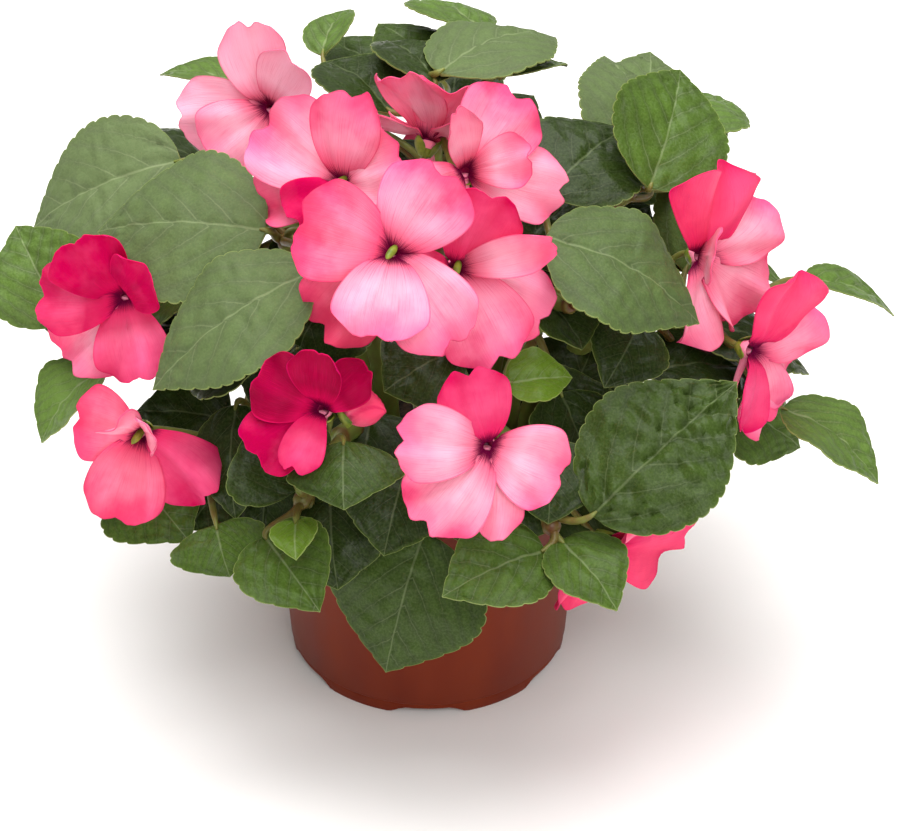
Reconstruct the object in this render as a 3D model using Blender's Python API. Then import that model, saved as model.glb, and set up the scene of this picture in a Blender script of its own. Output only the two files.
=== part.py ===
"""Potted impatiens: a round plastic pot of soil, thirteen leafy shoots, blooms and a bud.

The origin is on the surface that the pot stands on, at the centre of the whole plant's
box. +Z is up, and the side with the fullest blooms faces -Y. The sizes and places below
are in millimetres from the centre of the pot's foot, and MM turns them to metres where a
mesh is made. Places on the plant are read off a photograph of it, each as a pixel and a
distance in front of the point that the picture aims at.
"""

import math
from dataclasses import dataclass, replace

import bmesh
import bpy
import numpy as np
from mathutils import Matrix, Vector
from mathutils.bvhtree import BVHTree

MM = 0.001
CLEARANCE = 0.3
WELD = 0.001

# Pot
POT_SIDES = 32
POT_HEIGHT = 88.5
FOOT_RADIUS = 45.0
FOOT_INNER_RADIUS = 42.0
FOOT_EASE = 0.6
FOOT_BAND_TOP = 4.2
FOOT_STEP = 0.6
FLOOR_UNDERSIDE = 3.4
FLOOR_TOP = 5.0
WALL_TOP = 75.0
WALL_TOP_RADIUS = 50.2
WALL_FOOT_INNER_RADIUS = 44.0
WALL_TOP_INNER_RADIUS = 49.0
BAND_STEP = 1.2
BAND_RADIUS = 52.4
BAND_INNER_RADIUS = 50.9
RIM_RADIUS = 53.2
RIM_INNER_RADIUS = 51.6
RIM_ROUND = 0.8
NOTCH_COUNT = 6
NOTCH_FOOT_ANGLE = 18.0
NOTCH_HEAD_ANGLE = 9.0
NOTCH_DEPTH = 2.6
NOTCH_MARGIN = 3.0
DRAIN_COUNT = 4
DRAIN_RADIUS = 3.5
DRAIN_CIRCLE = 27.0
DRAIN_SIDES = 6

# Soil
SOIL_SIDES = 24
SOIL_EDGE = 77.0
SOIL_SHOULDER = 78.6
SOIL_CROWN = 79.6
HOLE_FLOOR = 62.0
HOLE_RADIUS = 5.0
HOLE_SIDES = 6

# Stems, stalks and leaf blades
STEM_RADIUS = 4.0
STEM_TIP_RADIUS = 2.4
STEM_SIDES = 5
STEM_RINGS = 6
STEM_STEPS = 40
PETIOLE_RADIUS = 1.3
PEDICEL_RADIUS = 1.0
STALK_SIDES = 3
STALK_RINGS = 4
PETIOLE_SINK = 2.0
PETIOLE_TIP_RADIUS = 0.3
LEAST_TEETH = 3
BLADE_THICKNESS = 0.7
TOOTH_REACH = 1.3
TOOTH_PLACE = 0.62
LARGE_BLADE = 42
MIDDLE_BLADE = 30
WIDEST_AT = 0.42
BASE_FULLNESS = 0.62
TIP_FULLNESS = 1.12

# Blooms and bud
PETAL_THICKNESS = 0.6
PETAL_ROOT = 1.2
PETAL_WIDEST_AT = 0.76
PETAL_ROWS = ((0.0, 2), (0.5, 3), (1.0, 5))
PETAL_LAYER = 1.1
THROAT_SIDES = 6
THROAT_STATIONS = ((-8.0, 1.8), (-2.4, 3.4), (2.8, 3.2))
SPUR_RADIUS = 1.1
SPUR_TIP_RADIUS = 0.6
PEDICEL_GAP = 0.4
PEDICEL_STRAIGHT = 4.4
BUD_SIDES = 8
BUD_STATIONS = ((0.0, 0.18), (0.15, 0.7), (0.45, 1.0), (0.75, 0.72), (0.93, 0.3), (1.0, 0.05))

# Where the photograph was taken from
VIEW_RISE = math.radians(34.0)
VIEW_DISTANCE = 1000.0
VIEW_FOCAL_PIXELS = 3144.0
VIEW_MIDDLE_ACROSS = 450.0
VIEW_MIDDLE_DOWN = 415.5
VIEW_AIM = np.array((7.2, 0.0, 85.8))
VIEW_RIGHT = np.array((1.0, 0.0, 0.0))
VIEW_UP = np.array((0.0, math.sin(VIEW_RISE), math.cos(VIEW_RISE)))
VIEW_INTO = np.array((0.0, math.cos(VIEW_RISE), -math.sin(VIEW_RISE)))

# Growth that the photograph doesn't show, placed by a rule with seeded draws
HIDDEN_SEED = 7
HIDDEN_DRAWS = 900
HIDDEN_LEAF = 54.0
LOWEST_TIP = 26.0
TEST_MARGIN = 0.6
GAP_REACH = 12.0


@dataclass(frozen=True)
class Seen:
    """A place read off the photograph: its pixel, and how far it stands in front of the aim."""

    across: float
    down: float
    near: float

    def place(self):
        """Return the place in mm."""
        scale = (VIEW_DISTANCE - self.near) / VIEW_FOCAL_PIXELS
        right = VIEW_RIGHT * (self.across - VIEW_MIDDLE_ACROSS) * scale
        rise = VIEW_UP * (VIEW_MIDDLE_DOWN - self.down) * scale
        return VIEW_AIM + right + rise - VIEW_INTO * self.near


@dataclass(frozen=True)
class Place:
    """A place given in mm."""

    x: float
    y: float
    z: float

    def place(self):
        """Return the place in mm."""
        return np.array((self.x, self.y, self.z))


@dataclass(frozen=True)
class Leaf:
    """A blade on a stalk that leaves its stem at a fraction of the stem's length.

    Its face is the share by which its upper side turns from the light to the front.
    """

    at: float
    base: object
    tip: object
    width: float
    fold: float = -0.1
    wave: float = 0.03
    arch: float = 0.1
    face: float = 0.0


@dataclass(frozen=True)
class Petal:
    """Its angle round the throat and size, then the sheet's lift, curl, cup and twist."""

    angle: float
    length: float
    width: float
    lift: float
    curl: float
    cup: float = 0.1
    twist: float = 0.0


@dataclass(frozen=True)
class Bloom:
    """A bloom on its shoot, where its throat is and which way it faces, in degrees."""

    name: str
    shoot: str
    at: float
    centre: object
    azimuth: float
    elevation: float
    petals: tuple
    deep: bool = False


@dataclass(frozen=True)
class Bud:
    """A closed bud on its shoot."""

    name: str
    shoot: str
    at: float
    centre: object
    azimuth: float
    elevation: float
    length: float
    width: float


@dataclass(frozen=True)
class HiddenBloom:
    """Where a bloom at the back is sought: its bearing, reach from the middle and height."""

    name: str
    shoot: str
    bearing: float
    reach: float
    height: float


@dataclass(frozen=True)
class HiddenLeaves:
    """How many leaves a shoot has out of sight, their outward bearing and its spread."""

    shoot: str
    count: int
    bearing: float
    spread: float


# Each stem from where it leaves the soil to its tip
STEMS = {
    "front_right": ((16, -24, 80), (20, -34, 102), (30, -56, 107), (38, -76, 95)),
    "front_left": ((-16, -22, 80), (-20, -32, 102), (-28, -50, 109), (-38, -67, 98)),
    "front": ((0, -16, 80), (0, -26, 106), (-2, -48, 128), (0, -64, 126)),
    "mid_right": ((24, -6, 82), (28, -12, 112), (36, -22, 140), (44, -30, 146)),
    "upper_right": ((18, 10, 82), (24, 12, 112), (44, 12, 146), (64, 14, 160)),
    "right": ((32, 6, 80), (40, 4, 102), (62, 0, 120), (86, -4, 124)),
    "top": ((2, 12, 84), (2, 18, 122), (2, 28, 160), (0, 42, 182)),
    "upper_left": ((-12, -2, 82), (-16, -4, 115), (-32, -8, 148), (-44, -12, 158)),
    "left": ((-32, 4, 80), (-42, 2, 102), (-66, -4, 116), (-92, -10, 116)),
    "lower_left": ((-28, -14, 80), (-36, -20, 98), (-50, -28, 102), (-62, -34, 95)),
    "back_left": ((-20, 22, 80), (-26, 28, 104), (-42, 50, 122), (-58, 66, 126)),
    "back": ((2, 30, 80), (2, 38, 104), (4, 62, 122), (4, 84, 126)),
    "back_right": ((22, 24, 80), (28, 30, 104), (44, 48, 124), (60, 62, 130)),
}

LEAVES = {
    "front_right": (
        Leaf(0.85, Seen(592, 516, 74), Seen(737, 382, 62), 45, fold=-0.06),
        Leaf(1.0, Seen(546, 550, 70), Seen(442, 597, 84), 30, fold=0.15, arch=0.12),
        Leaf(0.97, Seen(560, 540, 68), Seen(617, 611, 80), 26, fold=0.1),
        Leaf(0.6, Seen(548, 440, 70), Seen(548, 524, 72), 34, fold=0.1, wave=0.04),
    ),
    "front_left": (
        Leaf(0.9, Seen(298, 490, 68), Seen(252, 426, 66), 34, fold=0.25),
        Leaf(0.85, Seen(344, 440, 90), Seen(344, 510, 98), 34, fold=-0.3, wave=0.0),
        Leaf(1.0, Seen(264, 536, 62), Seen(320, 612, 76), 30, fold=0.3, wave=0.06),
        Leaf(0.95, Seen(296, 520, 74), Seen(296, 560, 84), 14, fold=0.2, wave=0.0),
        Leaf(0.8, Seen(318, 524, 58), Seen(372, 520, 56), 22, fold=0.1, wave=0.0),
        Leaf(0.45, Seen(372, 412, 40), Seen(362, 500, 48), 42, wave=0.04, arch=0.12),
        Leaf(0.6, Seen(330, 500, 60), Seen(338, 590, 64), 36, wave=0.04, arch=0.12),
    ),
    "front": (
        Leaf(0.6, Seen(424, 532, 58), Seen(386, 672, 40), 50, wave=0.02, arch=0.08),
        Leaf(0.8, Seen(456, 350, 70), Seen(384, 392, 76), 38),
        Leaf(0.9, Seen(408, 462, 74), Seen(384, 556, 76), 32, fold=0.1),
        Leaf(0.55, Seen(492, 470, 54), Seen(484, 560, 62), 42, wave=0.04, arch=0.12),
    ),
    "mid_right": (
        Leaf(0.95, Seen(548, 194, 48), Seen(628, 130, 19), 38, arch=0.12),
        Leaf(1.0, Seen(546, 236, 72), Seen(699, 324, 60), 46, wave=0.05, arch=0.12, face=0.15),
        Leaf(0.7, Seen(640, 322, 40), Seen(604, 388, 54), 26, fold=0.1),
        Leaf(0.6, Seen(506, 384, 66), Seen(572, 378, 62), 18, fold=0.2, wave=0.05),
        Leaf(0.65, Seen(547, 298, 51), Seen(582, 350, 56), 27, fold=0.2, wave=0.05),
        Leaf(0.5, Seen(560, 392, 42), Seen(588, 500, 44), 36, fold=0.1, wave=0.04, arch=0.12),
    ),
    "upper_right": (
        Leaf(0.9, Seen(652, 190, 16), Seen(604, 56, -30), 44, fold=-0.15, wave=0.04, arch=0.12),
        Leaf(1.0, Seen(650, 188, 46), Seen(680, 70, 16), 38, fold=0.1, arch=0.08),
        Leaf(0.85, Seen(676, 118, -8), Seen(734, 104, -34), 34),
    ),
    "right": (
        Leaf(0.75, Seen(648, 372, 26), Seen(752, 372, 6), 36),
        Leaf(0.95, Seen(782, 408, 16), Seen(878, 484, 18), 34, fold=0.1, wave=0.04, arch=0.12),
        Leaf(1.0, Seen(806, 278, -8), Seen(894, 316, -26), 20, fold=0.1, wave=0.0),
    ),
    "top": (
        Leaf(0.55, Seen(232, 82, -4), Seen(160, 75, -14), 24, fold=0.1, wave=0.0),
        Leaf(0.75, Seen(322, 54, 0), Seen(348, 10, -20), 17, fold=0.15, wave=0.0),
        Leaf(0.88, Seen(390, 112, 30), Seen(326, 62, 10), 36, fold=0.2, wave=0.0),
        Leaf(0.93, Seen(436, 82, 28), Seen(384, 42, 6), 30, fold=0.1, wave=0.0),
        Leaf(1.0, Seen(440, 72, 30), Seen(556, 38, -4), 42, arch=0.12, face=0.3),
        Leaf(0.95, Seen(478, 26, -12), Seen(412, 2, -34), 34, wave=0.0),
        Leaf(0.8, Seen(498, 76, 14), Seen(567, 66, -4), 24, fold=0.1, wave=0.0),
    ),
    "upper_left": (
        Leaf(1.0, Seen(266, 230, 62), Seen(98, 232, 34), 50, fold=-0.12, face=0.5),
        Leaf(0.9, Seen(314, 270, 80), Seen(153, 390, 66), 43, fold=-0.08, wave=0.05, face=0.15),
        Leaf(0.8, Seen(180, 160, 27), Seen(34, 228, -2), 42, fold=0.1, wave=0.0, face=0.6),
        Leaf(0.6, Seen(266, 350, 56), Seen(186, 384, 40), 32, fold=0.1),
    ),
    "left": (
        Leaf(0.9, Seen(66, 322, 30), Seen(16, 226, 20), 34, fold=0.1, wave=0.0),
        Leaf(1.0, Seen(104, 368, 30), Seen(42, 443, 30), 30, fold=0.2, wave=0.04, arch=0.12),
    ),
    "lower_left": (
        Leaf(0.6, Seen(236, 404, 48), Seen(236, 520, 50), 28),
        Leaf(1.0, Seen(216, 524, 50), Seen(230, 577, 54), 30, fold=0.1, wave=0.04),
        Leaf(0.9, Seen(128, 466, 18), Seen(190, 542, 30), 36, arch=0.12),
        Leaf(0.65, Seen(282, 440, 44), Seen(262, 540, 48), 40, wave=0.04, arch=0.12),
        Leaf(0.5, Seen(300, 346, 36), Seen(254, 410, 38), 34, fold=0.1, wave=0.04, arch=0.12),
    ),
}

BLOOMS = (
    Bloom("centre", "upper_left", 0.9, Seen(392, 252, 96), -2, 38, (
        Petal(57, 27, 31, 14, -10, cup=-0.35),
        Petal(163, 28, 31, 8, -14),
        Petal(226, 31, 27, -10, -12),
        Petal(262, 26, 29, 16, -16, cup=0.15),
        Petal(305, 32, 27, 6, -10),
    )),
    Bloom("centre_right", "mid_right", 0.9, Seen(457, 268, 78), 14, 30, (
        Petal(62, 25, 25, 24, 10, cup=0.5),
        Petal(12, 29, 17, 26, -4, cup=0.6, twist=30),
        Petal(-38, 31, 26, 4, -10, cup=0.2),
        Petal(-72, 30, 29, 8, -14),
        Petal(186, 15, 18, 0, 0),
    )),
    Bloom("upper_right", "top", 0.95, Seen(468, 170, 68), 22, 36, (
        Petal(108, 22, 14, 40, 6, cup=0.6),
        Petal(44, 27, 28, 12, -6, cup=-0.1),
        Petal(-4, 18, 17, 40, -6),
        Petal(-22, 31, 24, 2, -14),
        Petal(200, 20, 20, 0, 0),
    )),
    Bloom("top", "top", 0.8, Seen(430, 132, 44), 160, 50, (
        Petal(75, 25, 26, 20, 0, cup=0.2),
        Petal(120, 25, 24, 20, -8),
        Petal(20, 20, 22, 10, -10),
        Petal(165, 20, 22, 10, 0),
        Petal(325, 14, 18, 10, 0),
    )),
    Bloom("upper_left", "upper_left", 0.8, Seen(341, 182, 70), -14, 40, (
        Petal(82, 27, 24, 34, -10, cup=0.3),
        Petal(24, 22, 26, 30, -6, cup=0.2),
        Petal(150, 30, 30, 16, -14, cup=0.2),
        Petal(196, 26, 22, 0, -20, cup=0.3),
        Petal(235, 18, 22, 20, -10),
    )),
    Bloom("top_left", "top", 0.6, Seen(268, 108, 30), -10, 25, (
        Petal(104, 28, 22, 20, 0, cup=0.3),
        Petal(58, 22, 20, 26, 10, cup=0.2),
        Petal(190, 28, 24, 16, -20),
        Petal(225, 22, 26, 24, -20),
        Petal(345, 13, 16, 10, 0),
    )),
    Bloom("left", "left", 0.85, Seen(121, 298, 56), -16, 20, (
        Petal(125, 23, 26, 26, -6, cup=0.3),
        Petal(45, 17, 22, 26, -4, cup=0.3),
        Petal(186, 25, 24, 20, -20, cup=0.2),
        Petal(236, 28, 26, 10, -16, cup=0.2),
        Petal(290, 25, 26, 12, -16, cup=0.2),
    ), deep=True),
    Bloom("lower_left", "lower_left", 0.9, Seen(139, 435, 54), -10, 22, (
        Petal(172, 20, 24, 8, -10),
        Petal(125, 16, 15, 56, 30, cup=-0.4),
        Petal(28, 18, 14, 50, 20, cup=0.5),
        Petal(258, 27, 27, 14, -14, cup=-0.3),
        Petal(322, 28, 26, 8, -12, cup=-0.5),
    )),
    Bloom("front_left", "front_left", 0.7, Seen(319, 409, 92), -20, 34, (
        Petal(85, 19, 18, 34, 0, cup=0.4),
        Petal(48, 19, 15, 16, 0, cup=0.2),
        Petal(162, 20, 22, 22, -16, cup=0.2),
        Petal(226, 24, 23, 16, -20, cup=0.3),
        Petal(264, 19, 15, 24, -10, cup=-0.3),
    ), deep=True),
    Bloom("front", "front", 1.0, Seen(488, 447, 98), 4, 28, (
        Petal(104, 23, 22, 12, -8, cup=0.2),
        Petal(172, 26, 24, 12, -14, cup=0.2),
        Petal(-24, 23, 26, 10, -10),
        Petal(228, 29, 27, 10, -14),
        Petal(262, 26, 26, 4, -14),
    )),
    Bloom("right", "right", 0.68, Seen(706, 256, 50), 40, 18, (
        Petal(80, 28, 32, 12, -6),
        Petal(24, 28, 32, 10, -10),
        Petal(-40, 30, 34, 6, -16),
        Petal(-84, 28, 32, 4, -16),
        Petal(150, 12, 18, 50, 0),
    )),
    Bloom("far_right", "right", 0.9, Seen(758, 352, 44), 46, 8, (
        Petal(62, 27, 26, 12, -6),
        Petal(16, 26, 30, 10, -10),
        Petal(-36, 29, 30, 4, -16),
        Petal(-80, 30, 24, 4, -20),
        Petal(-120, 24, 14, 10, -10),
    )),
    Bloom("low_right", "front_right", 0.7, Seen(612, 550, 40), 44, -16, (
        Petal(30, 28, 30, 10, -10),
        Petal(-16, 28, 30, 10, -16),
        Petal(-80, 27, 24, 4, -16),
        Petal(-125, 24, 24, 4, -10),
        Petal(100, 18, 20, 10, 0),
    )),
)

BUDS = (Bud("front_left", "front_left", 0.8, Seen(362, 408, 88), 60, 10, 16, 11),)

HIDDEN_BLOOMS = (
    HiddenBloom("back_left", "back_left", 152, 92, 130),
    HiddenBloom("back", "back", 80, 102, 124),
    HiddenBloom("side_right", "back_right", 26, 94, 100),
    HiddenBloom("low_back", "back", 104, 102, 94),
)

# A bloom seen square on, which the hidden blooms vary
EVEN_PETALS = (
    Petal(90, 25, 26, 8, 0, cup=0.2),
    Petal(20, 27, 30, 4, -10),
    Petal(160, 27, 30, 4, -10),
    Petal(-52, 28, 30, 2, -14),
    Petal(-128, 28, 30, 2, -14),
)

HIDDEN_LEAVES = (
    HiddenLeaves("back_left", 5, 128, 100),
    HiddenLeaves("back", 6, 90, 100),
    HiddenLeaves("back_right", 6, 48, 100),
    HiddenLeaves("right", 2, 5, 60),
    HiddenLeaves("left", 2, 170, 60),
)


def unit(vector):
    """Return the vector at length one."""
    return vector / max(np.linalg.norm(vector), 1e-12)


def direction(bearing, rise):
    """Return the direction at an angle from +X and above the level, both in degrees."""
    a, r = math.radians(bearing), math.radians(rise)
    return np.array((math.cos(a) * math.cos(r), math.sin(a) * math.cos(r), math.sin(r)))


def smooth_path(points, count):
    """Return points spread along a smooth curve through the given ones."""
    points = np.array(points, float)
    points = np.vstack((2 * points[0] - points[1], points, 2 * points[-1] - points[-2]))
    spans = len(points) - 3
    path = []
    for i in range(count):
        place = i / (count - 1) * spans
        k = min(int(place), spans - 1)
        t = place - k
        a, b, c, d = points[k:k + 4]
        path.append(0.5 * (2 * b + (c - a) * t + (2 * a - 5 * b + 4 * c - d) * t * t
                           + (3 * b - a - 3 * c + d) * t ** 3))
    return np.array(path)


def bezier(start, leave, arrive, end, count):
    """Return points along a cubic curve from start to end."""
    t = np.linspace(0.0, 1.0, count)[:, None]
    return ((1 - t) ** 3 * start + 3 * (1 - t) ** 2 * t * leave
            + 3 * (1 - t) * t * t * arrive + t ** 3 * end)


def tube(path, radii, sides):
    """Return the points and faces of a closed tube along a path."""
    path = np.asarray(path, float)
    radii = np.broadcast_to(radii, len(path))
    along = np.gradient(path, axis=0)
    along = along / np.linalg.norm(along, axis=1)[:, None]
    level = np.array((1.0, 0.0, 0.0)) if abs(along[0][2]) > 0.9 else np.array((0.0, 0.0, 1.0))
    across = unit(np.cross(along[0], level))
    turns = np.arange(sides) * 2 * math.pi / sides
    points = []
    for centre, ahead, radius in zip(path, along, radii):
        across = unit(across - ahead * (across @ ahead))
        third = np.cross(ahead, across)
        points += [centre + radius * (math.cos(a) * across + math.sin(a) * third) for a in turns]
    faces = [tuple(reversed(range(sides)))]
    for ring in range(0, (len(path) - 1) * sides, sides):
        for k in range(sides):
            a, b = ring + k, ring + (k + 1) % sides
            faces += [(a, b, b + sides), (a, b + sides, a + sides)]
    faces.append(tuple(range(len(points) - sides, len(points))))
    return points, faces


def stitched(first, second):
    """Return the triangles between two rows of point numbers."""
    triangles = []
    i = j = 0
    while i < len(first) - 1 or j < len(second) - 1:
        behind = (i + 1) * (len(second) - 1) <= (j + 1) * (len(first) - 1)
        if j == len(second) - 1 or (i < len(first) - 1 and behind):
            triangles.append((first[i], second[j], first[i + 1]))
            i += 1
        else:
            triangles.append((first[i], second[j], second[j + 1]))
            j += 1
    return triangles


def moved(solid, shift):
    """Return the solid moved by the shift."""
    points, faces = solid
    return [point + shift for point in points], faces


class Sheet:
    """A thin closed sheet, split alike on both faces."""

    def __init__(self, surface, thickness):
        """Take the surface as a function of a place on it and an offset from it."""
        self.surface = surface
        self.half = thickness / 2
        self.upper = []
        self.lower = []

    def add(self, *place):
        """Add a place on both faces and return its number."""
        self.upper.append(self.surface(*place, self.half))
        self.lower.append(self.surface(*place, -self.half))
        return len(self.upper) - 1

    def solid(self, triangles):
        """Return points and faces, closed along each triangle side that is used once."""
        edge = {}
        for a, b, c in triangles:
            for side in ((a, b), (b, c), (c, a)):
                if edge.pop(side[::-1], None) is None:
                    edge[side] = True
        under = len(self.upper)
        faces = list(triangles)
        faces += [(c + under, b + under, a + under) for a, b, c in triangles]
        for a, b in edge:
            faces += [(b, a, a + under), (b, a + under, b + under)]
        return self.upper + self.lower, faces


class Blade:
    """A leaf's blade: arched along, folded and waved across, with a toothed edge."""

    def __init__(self, leaf):
        """Set the blade's own axes: along it, across it and out of its upper face."""
        self.leaf = leaf
        self.base = leaf.base.place()
        reach = leaf.tip.place() - self.base
        self.length = np.linalg.norm(reach)
        self.along = reach / self.length
        middle = self.base + reach / 2
        outward = unit(np.array((middle[0], middle[1], 0.0)))
        up = (1 - leaf.face) * (0.5 * outward + np.array((0.0, 0.0, 0.9))) - leaf.face * VIEW_INTO
        self.normal = unit(up - self.along * (up @ self.along))
        self.side = np.cross(self.normal, self.along)
        self.flatness = math.sqrt(1 - min(0.8, abs(leaf.fold) * 0.6) ** 2)

    def outline(self, s):
        """Return the blade's half width along it, as a share of the widest."""
        if s < WIDEST_AT:
            return max(0.0, math.sin(math.pi / 2 * s / WIDEST_AT)) ** BASE_FULLNESS
        return max(0.0, math.cos(math.pi / 2 * (s - WIDEST_AT) / (1 - WIDEST_AT))) ** TIP_FULLNESS

    def surface(self, s, t, tooth, offset):
        """Return a point at s along and t across, out by a tooth, off the middle layer."""
        leaf = self.leaf
        half = leaf.width / 2 * self.outline(s) + tooth
        ripple = math.sin(4.4 * math.pi * s + (1.1 if t > 0 else 2.4))
        height = half * (leaf.fold * abs(t) ** 1.4 + leaf.wave * t * t * ripple)
        normal = unit(self.normal - self.along * leaf.arch * math.pi * math.cos(math.pi * s))
        return (self.base + self.along * self.length * s
                + self.normal * leaf.arch * self.length * math.sin(math.pi * s)
                + self.side * half * t * self.flatness + normal * (height + offset))

    def solid(self, thickness=BLADE_THICKNESS):
        """Return the blade's points and faces."""
        width = self.leaf.width
        teeth = LEAST_TEETH + (width >= MIDDLE_BLADE) + (width >= LARGE_BLADE)
        reach = TOOTH_REACH * min(1.0, width / 40)
        sheet = Sheet(self.surface, thickness)
        base, tip = sheet.add(0, 0, 0), sheet.add(1, 0, 0)
        rib = [base] + [sheet.add(j / teeth, 0, 0) for j in range(1, teeth)]
        triangles = []
        for side in (-1, 1):
            notch = [base] + [sheet.add(j / teeth, side, 0) for j in range(1, teeth)]
            peak = [sheet.add((j + TOOTH_PLACE) / teeth, side, reach) for j in range(teeth - 1)]
            half = [(rib[-1], notch[-1], tip)]
            for j in range(teeth - 1):
                if j > 0:
                    half.append((rib[j], notch[j], peak[j]))
                half.append((rib[j], peak[j], notch[j + 1]))
                half.append((rib[j], notch[j + 1], rib[j + 1]))
            triangles += [face[::-side] for face in half]
        return sheet.solid(triangles)

    def petiole(self, shoot, radius=PETIOLE_RADIUS):
        """Return the stalk's points and faces, from the stem to just inside the blade."""
        start, along = stem_place(shoot, self.leaf.at)
        run = np.linalg.norm(self.base - start)
        into = unit(self.along + self.normal * self.leaf.arch * math.pi)
        ease = run * 0.35 * (1 + min(0.0, into @ unit(self.base - start)))
        path = bezier(start, start + along * run * 0.35, self.base - into * ease,
                      self.base + into * PETIOLE_SINK, STALK_RINGS)
        radii = [radius] * (STALK_RINGS - 1) + [PETIOLE_TIP_RADIUS]
        return tube(path, radii, STALK_SIDES)


class Head:
    """The frame that a bloom or bud is shaped in: Z the way it faces, Y up, X right."""

    def __init__(self, flower, tail):
        """Set the frame, and how far behind its centre the flower stalk ends."""
        self.flower = flower
        self.tail = tail
        self.centre = flower.centre.place()
        self.facing = direction(flower.azimuth - 90, flower.elevation)
        self.up = unit(np.array((0.0, 0.0, 1.0)) - self.facing * self.facing[2])
        self.right = np.cross(self.up, self.facing)

    def matrix(self):
        """Return the frame's place in metres."""
        axes = Matrix([Vector(axis) for axis in (self.right, self.up, self.facing)])
        return Matrix.Translation(Vector(self.centre) * MM) @ axes.transposed().to_4x4()

    def out(self, solid):
        """Return a solid of this frame in the plant's."""
        points, faces = solid
        axes = np.array((self.right, self.up, self.facing))
        return list(self.centre + np.array(points) @ axes), faces

    def pedicel(self, radius=PEDICEL_RADIUS):
        """Return the flower stalk's points and faces: it meets the flower from behind."""
        start, along = stem_place(self.flower.shoot, self.flower.at)
        end = self.centre - self.facing * (self.tail + PEDICEL_GAP)
        run = np.linalg.norm(end - start)
        leave = start + (along + np.array((0.0, 0.0, 1.0))) * run * 0.2
        path = bezier(start, leave, end - self.facing * run * 0.3,
                      end - self.facing * PEDICEL_STRAIGHT, STALK_RINGS)
        return tube(np.vstack((path, end)), radius, STALK_SIDES)


def bloom_head(bloom):
    """Return the bloom's frame."""
    return Head(bloom, -THROAT_STATIONS[0][0])


def bud_head(bud):
    """Return the bud's frame."""
    return Head(bud, bud.length / 2)


def petal_solid(petal, height, thickness=PETAL_THICKNESS):
    """Return a petal's points and faces in its bloom's frame, its root at the height."""
    angle = math.radians(petal.angle)
    outward = np.array((math.cos(angle), math.sin(angle), 0.0))
    sideways = np.array((-math.sin(angle), math.cos(angle), 0.0))
    face = np.array((0.0, 0.0, 1.0))
    lift, curl = math.radians(petal.lift), math.radians(petal.curl)

    def surface(s, t, offset):
        """Return a point at s along the petal and t across it."""
        notched = 0.07 * max(0.0, 1 - abs(t) * 3) * s ** 4
        reach = s * (1 - 0.28 * abs(t) ** 2.2 * s * s - notched)
        slope = lift + curl * reach
        far, high = math.cos(lift) * reach, math.sin(lift) * reach
        if abs(curl) > 1e-3:
            far = (math.sin(slope) - math.sin(lift)) / curl
            high = (math.cos(lift) - math.cos(slope)) / curl
        normal = face * math.cos(slope) - outward * math.sin(slope)
        turn = math.radians(petal.twist) * reach
        across = sideways * math.cos(turn) + normal * math.sin(turn)
        normal = normal * math.cos(turn) - sideways * math.sin(turn)
        opening = 0.14 + 0.86 * math.sin(math.pi / 2 * min(1.0, s / PETAL_WIDEST_AT)) ** 1.15
        end = max(0.0, s - PETAL_WIDEST_AT) / (1 - PETAL_WIDEST_AT)
        half = petal.width / 2 * opening * (1 - 0.16 * end)
        cup = petal.cup * (0.3 + 0.7 * s)
        wide, deep = half * t, 0.0
        if abs(cup) > 1e-3:
            wide = half * math.sin(2 * cup * t) / (2 * cup)
            deep = half * (1 - math.cos(2 * cup * t)) / (2 * cup)
        return (outward * (PETAL_ROOT + petal.length * far)
                + face * (height + petal.length * high)
                + across * wide + normal * (deep + offset))

    sheet = Sheet(surface, thickness)
    rows = [[sheet.add(s, 2 * j / (count - 1) - 1) for j in range(count)]
            for s, count in PETAL_ROWS]
    triangles = stitched(rows[0], rows[1]) + stitched(rows[1], rows[2])
    return sheet.solid(triangles)


def throat_solid():
    """Return the points and faces of the throat behind the petals."""
    path = [(0.0, 0.0, height) for height, radius in THROAT_STATIONS]
    return tube(path, [radius for height, radius in THROAT_STATIONS], THROAT_SIDES)


def spur_solid():
    """Return the points and faces of the thin spur that hangs and curves behind the throat."""
    path = bezier(np.array((0.0, 0.0, -4.5)), np.array((0.0, -9.0, -6.5)),
                  np.array((0.0, -15.0, -13.5)), np.array((0.0, -27.0, -8.5)), STALK_RINGS)
    radii = np.linspace(SPUR_RADIUS, SPUR_TIP_RADIUS, STALK_RINGS)
    return tube(path, radii, STALK_SIDES)


def bloom_solids(bloom, thickness=PETAL_THICKNESS):
    """Return the throat, the petals and the spur in the bloom's frame."""
    layers = sorted(bloom.petals, key=lambda petal: petal.lift)
    middle = (len(layers) - 1) / 2
    petals = [petal_solid(petal, (layer - middle) * PETAL_LAYER, thickness)
              for layer, petal in enumerate(layers)]
    return [throat_solid()] + petals + [spur_solid()]


def bud_solid(bud):
    """Return the bud's points and faces in its frame, its stalk end at the back."""
    path = [(0.0, 0.0, (place - 0.5) * bud.length) for place, share in BUD_STATIONS]
    return tube(path, [share * bud.width / 2 for place, share in BUD_STATIONS], BUD_SIDES)


def stem_place(shoot, at):
    """Return the point at a fraction of a stem's length and the stem's direction there."""
    path = smooth_path(STEMS[shoot], STEM_STEPS + 1)
    i = round(at * STEM_STEPS)
    return path[i], unit(path[min(STEM_STEPS, i + 1)] - path[max(0, i - 1)])


def stem_foot(shoot):
    """Return the place of the stem's foot, just clear of the bottom of its hole."""
    x, y, z = STEMS[shoot][0]
    return np.array((x, y, HOLE_FLOOR + CLEARANCE))


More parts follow.
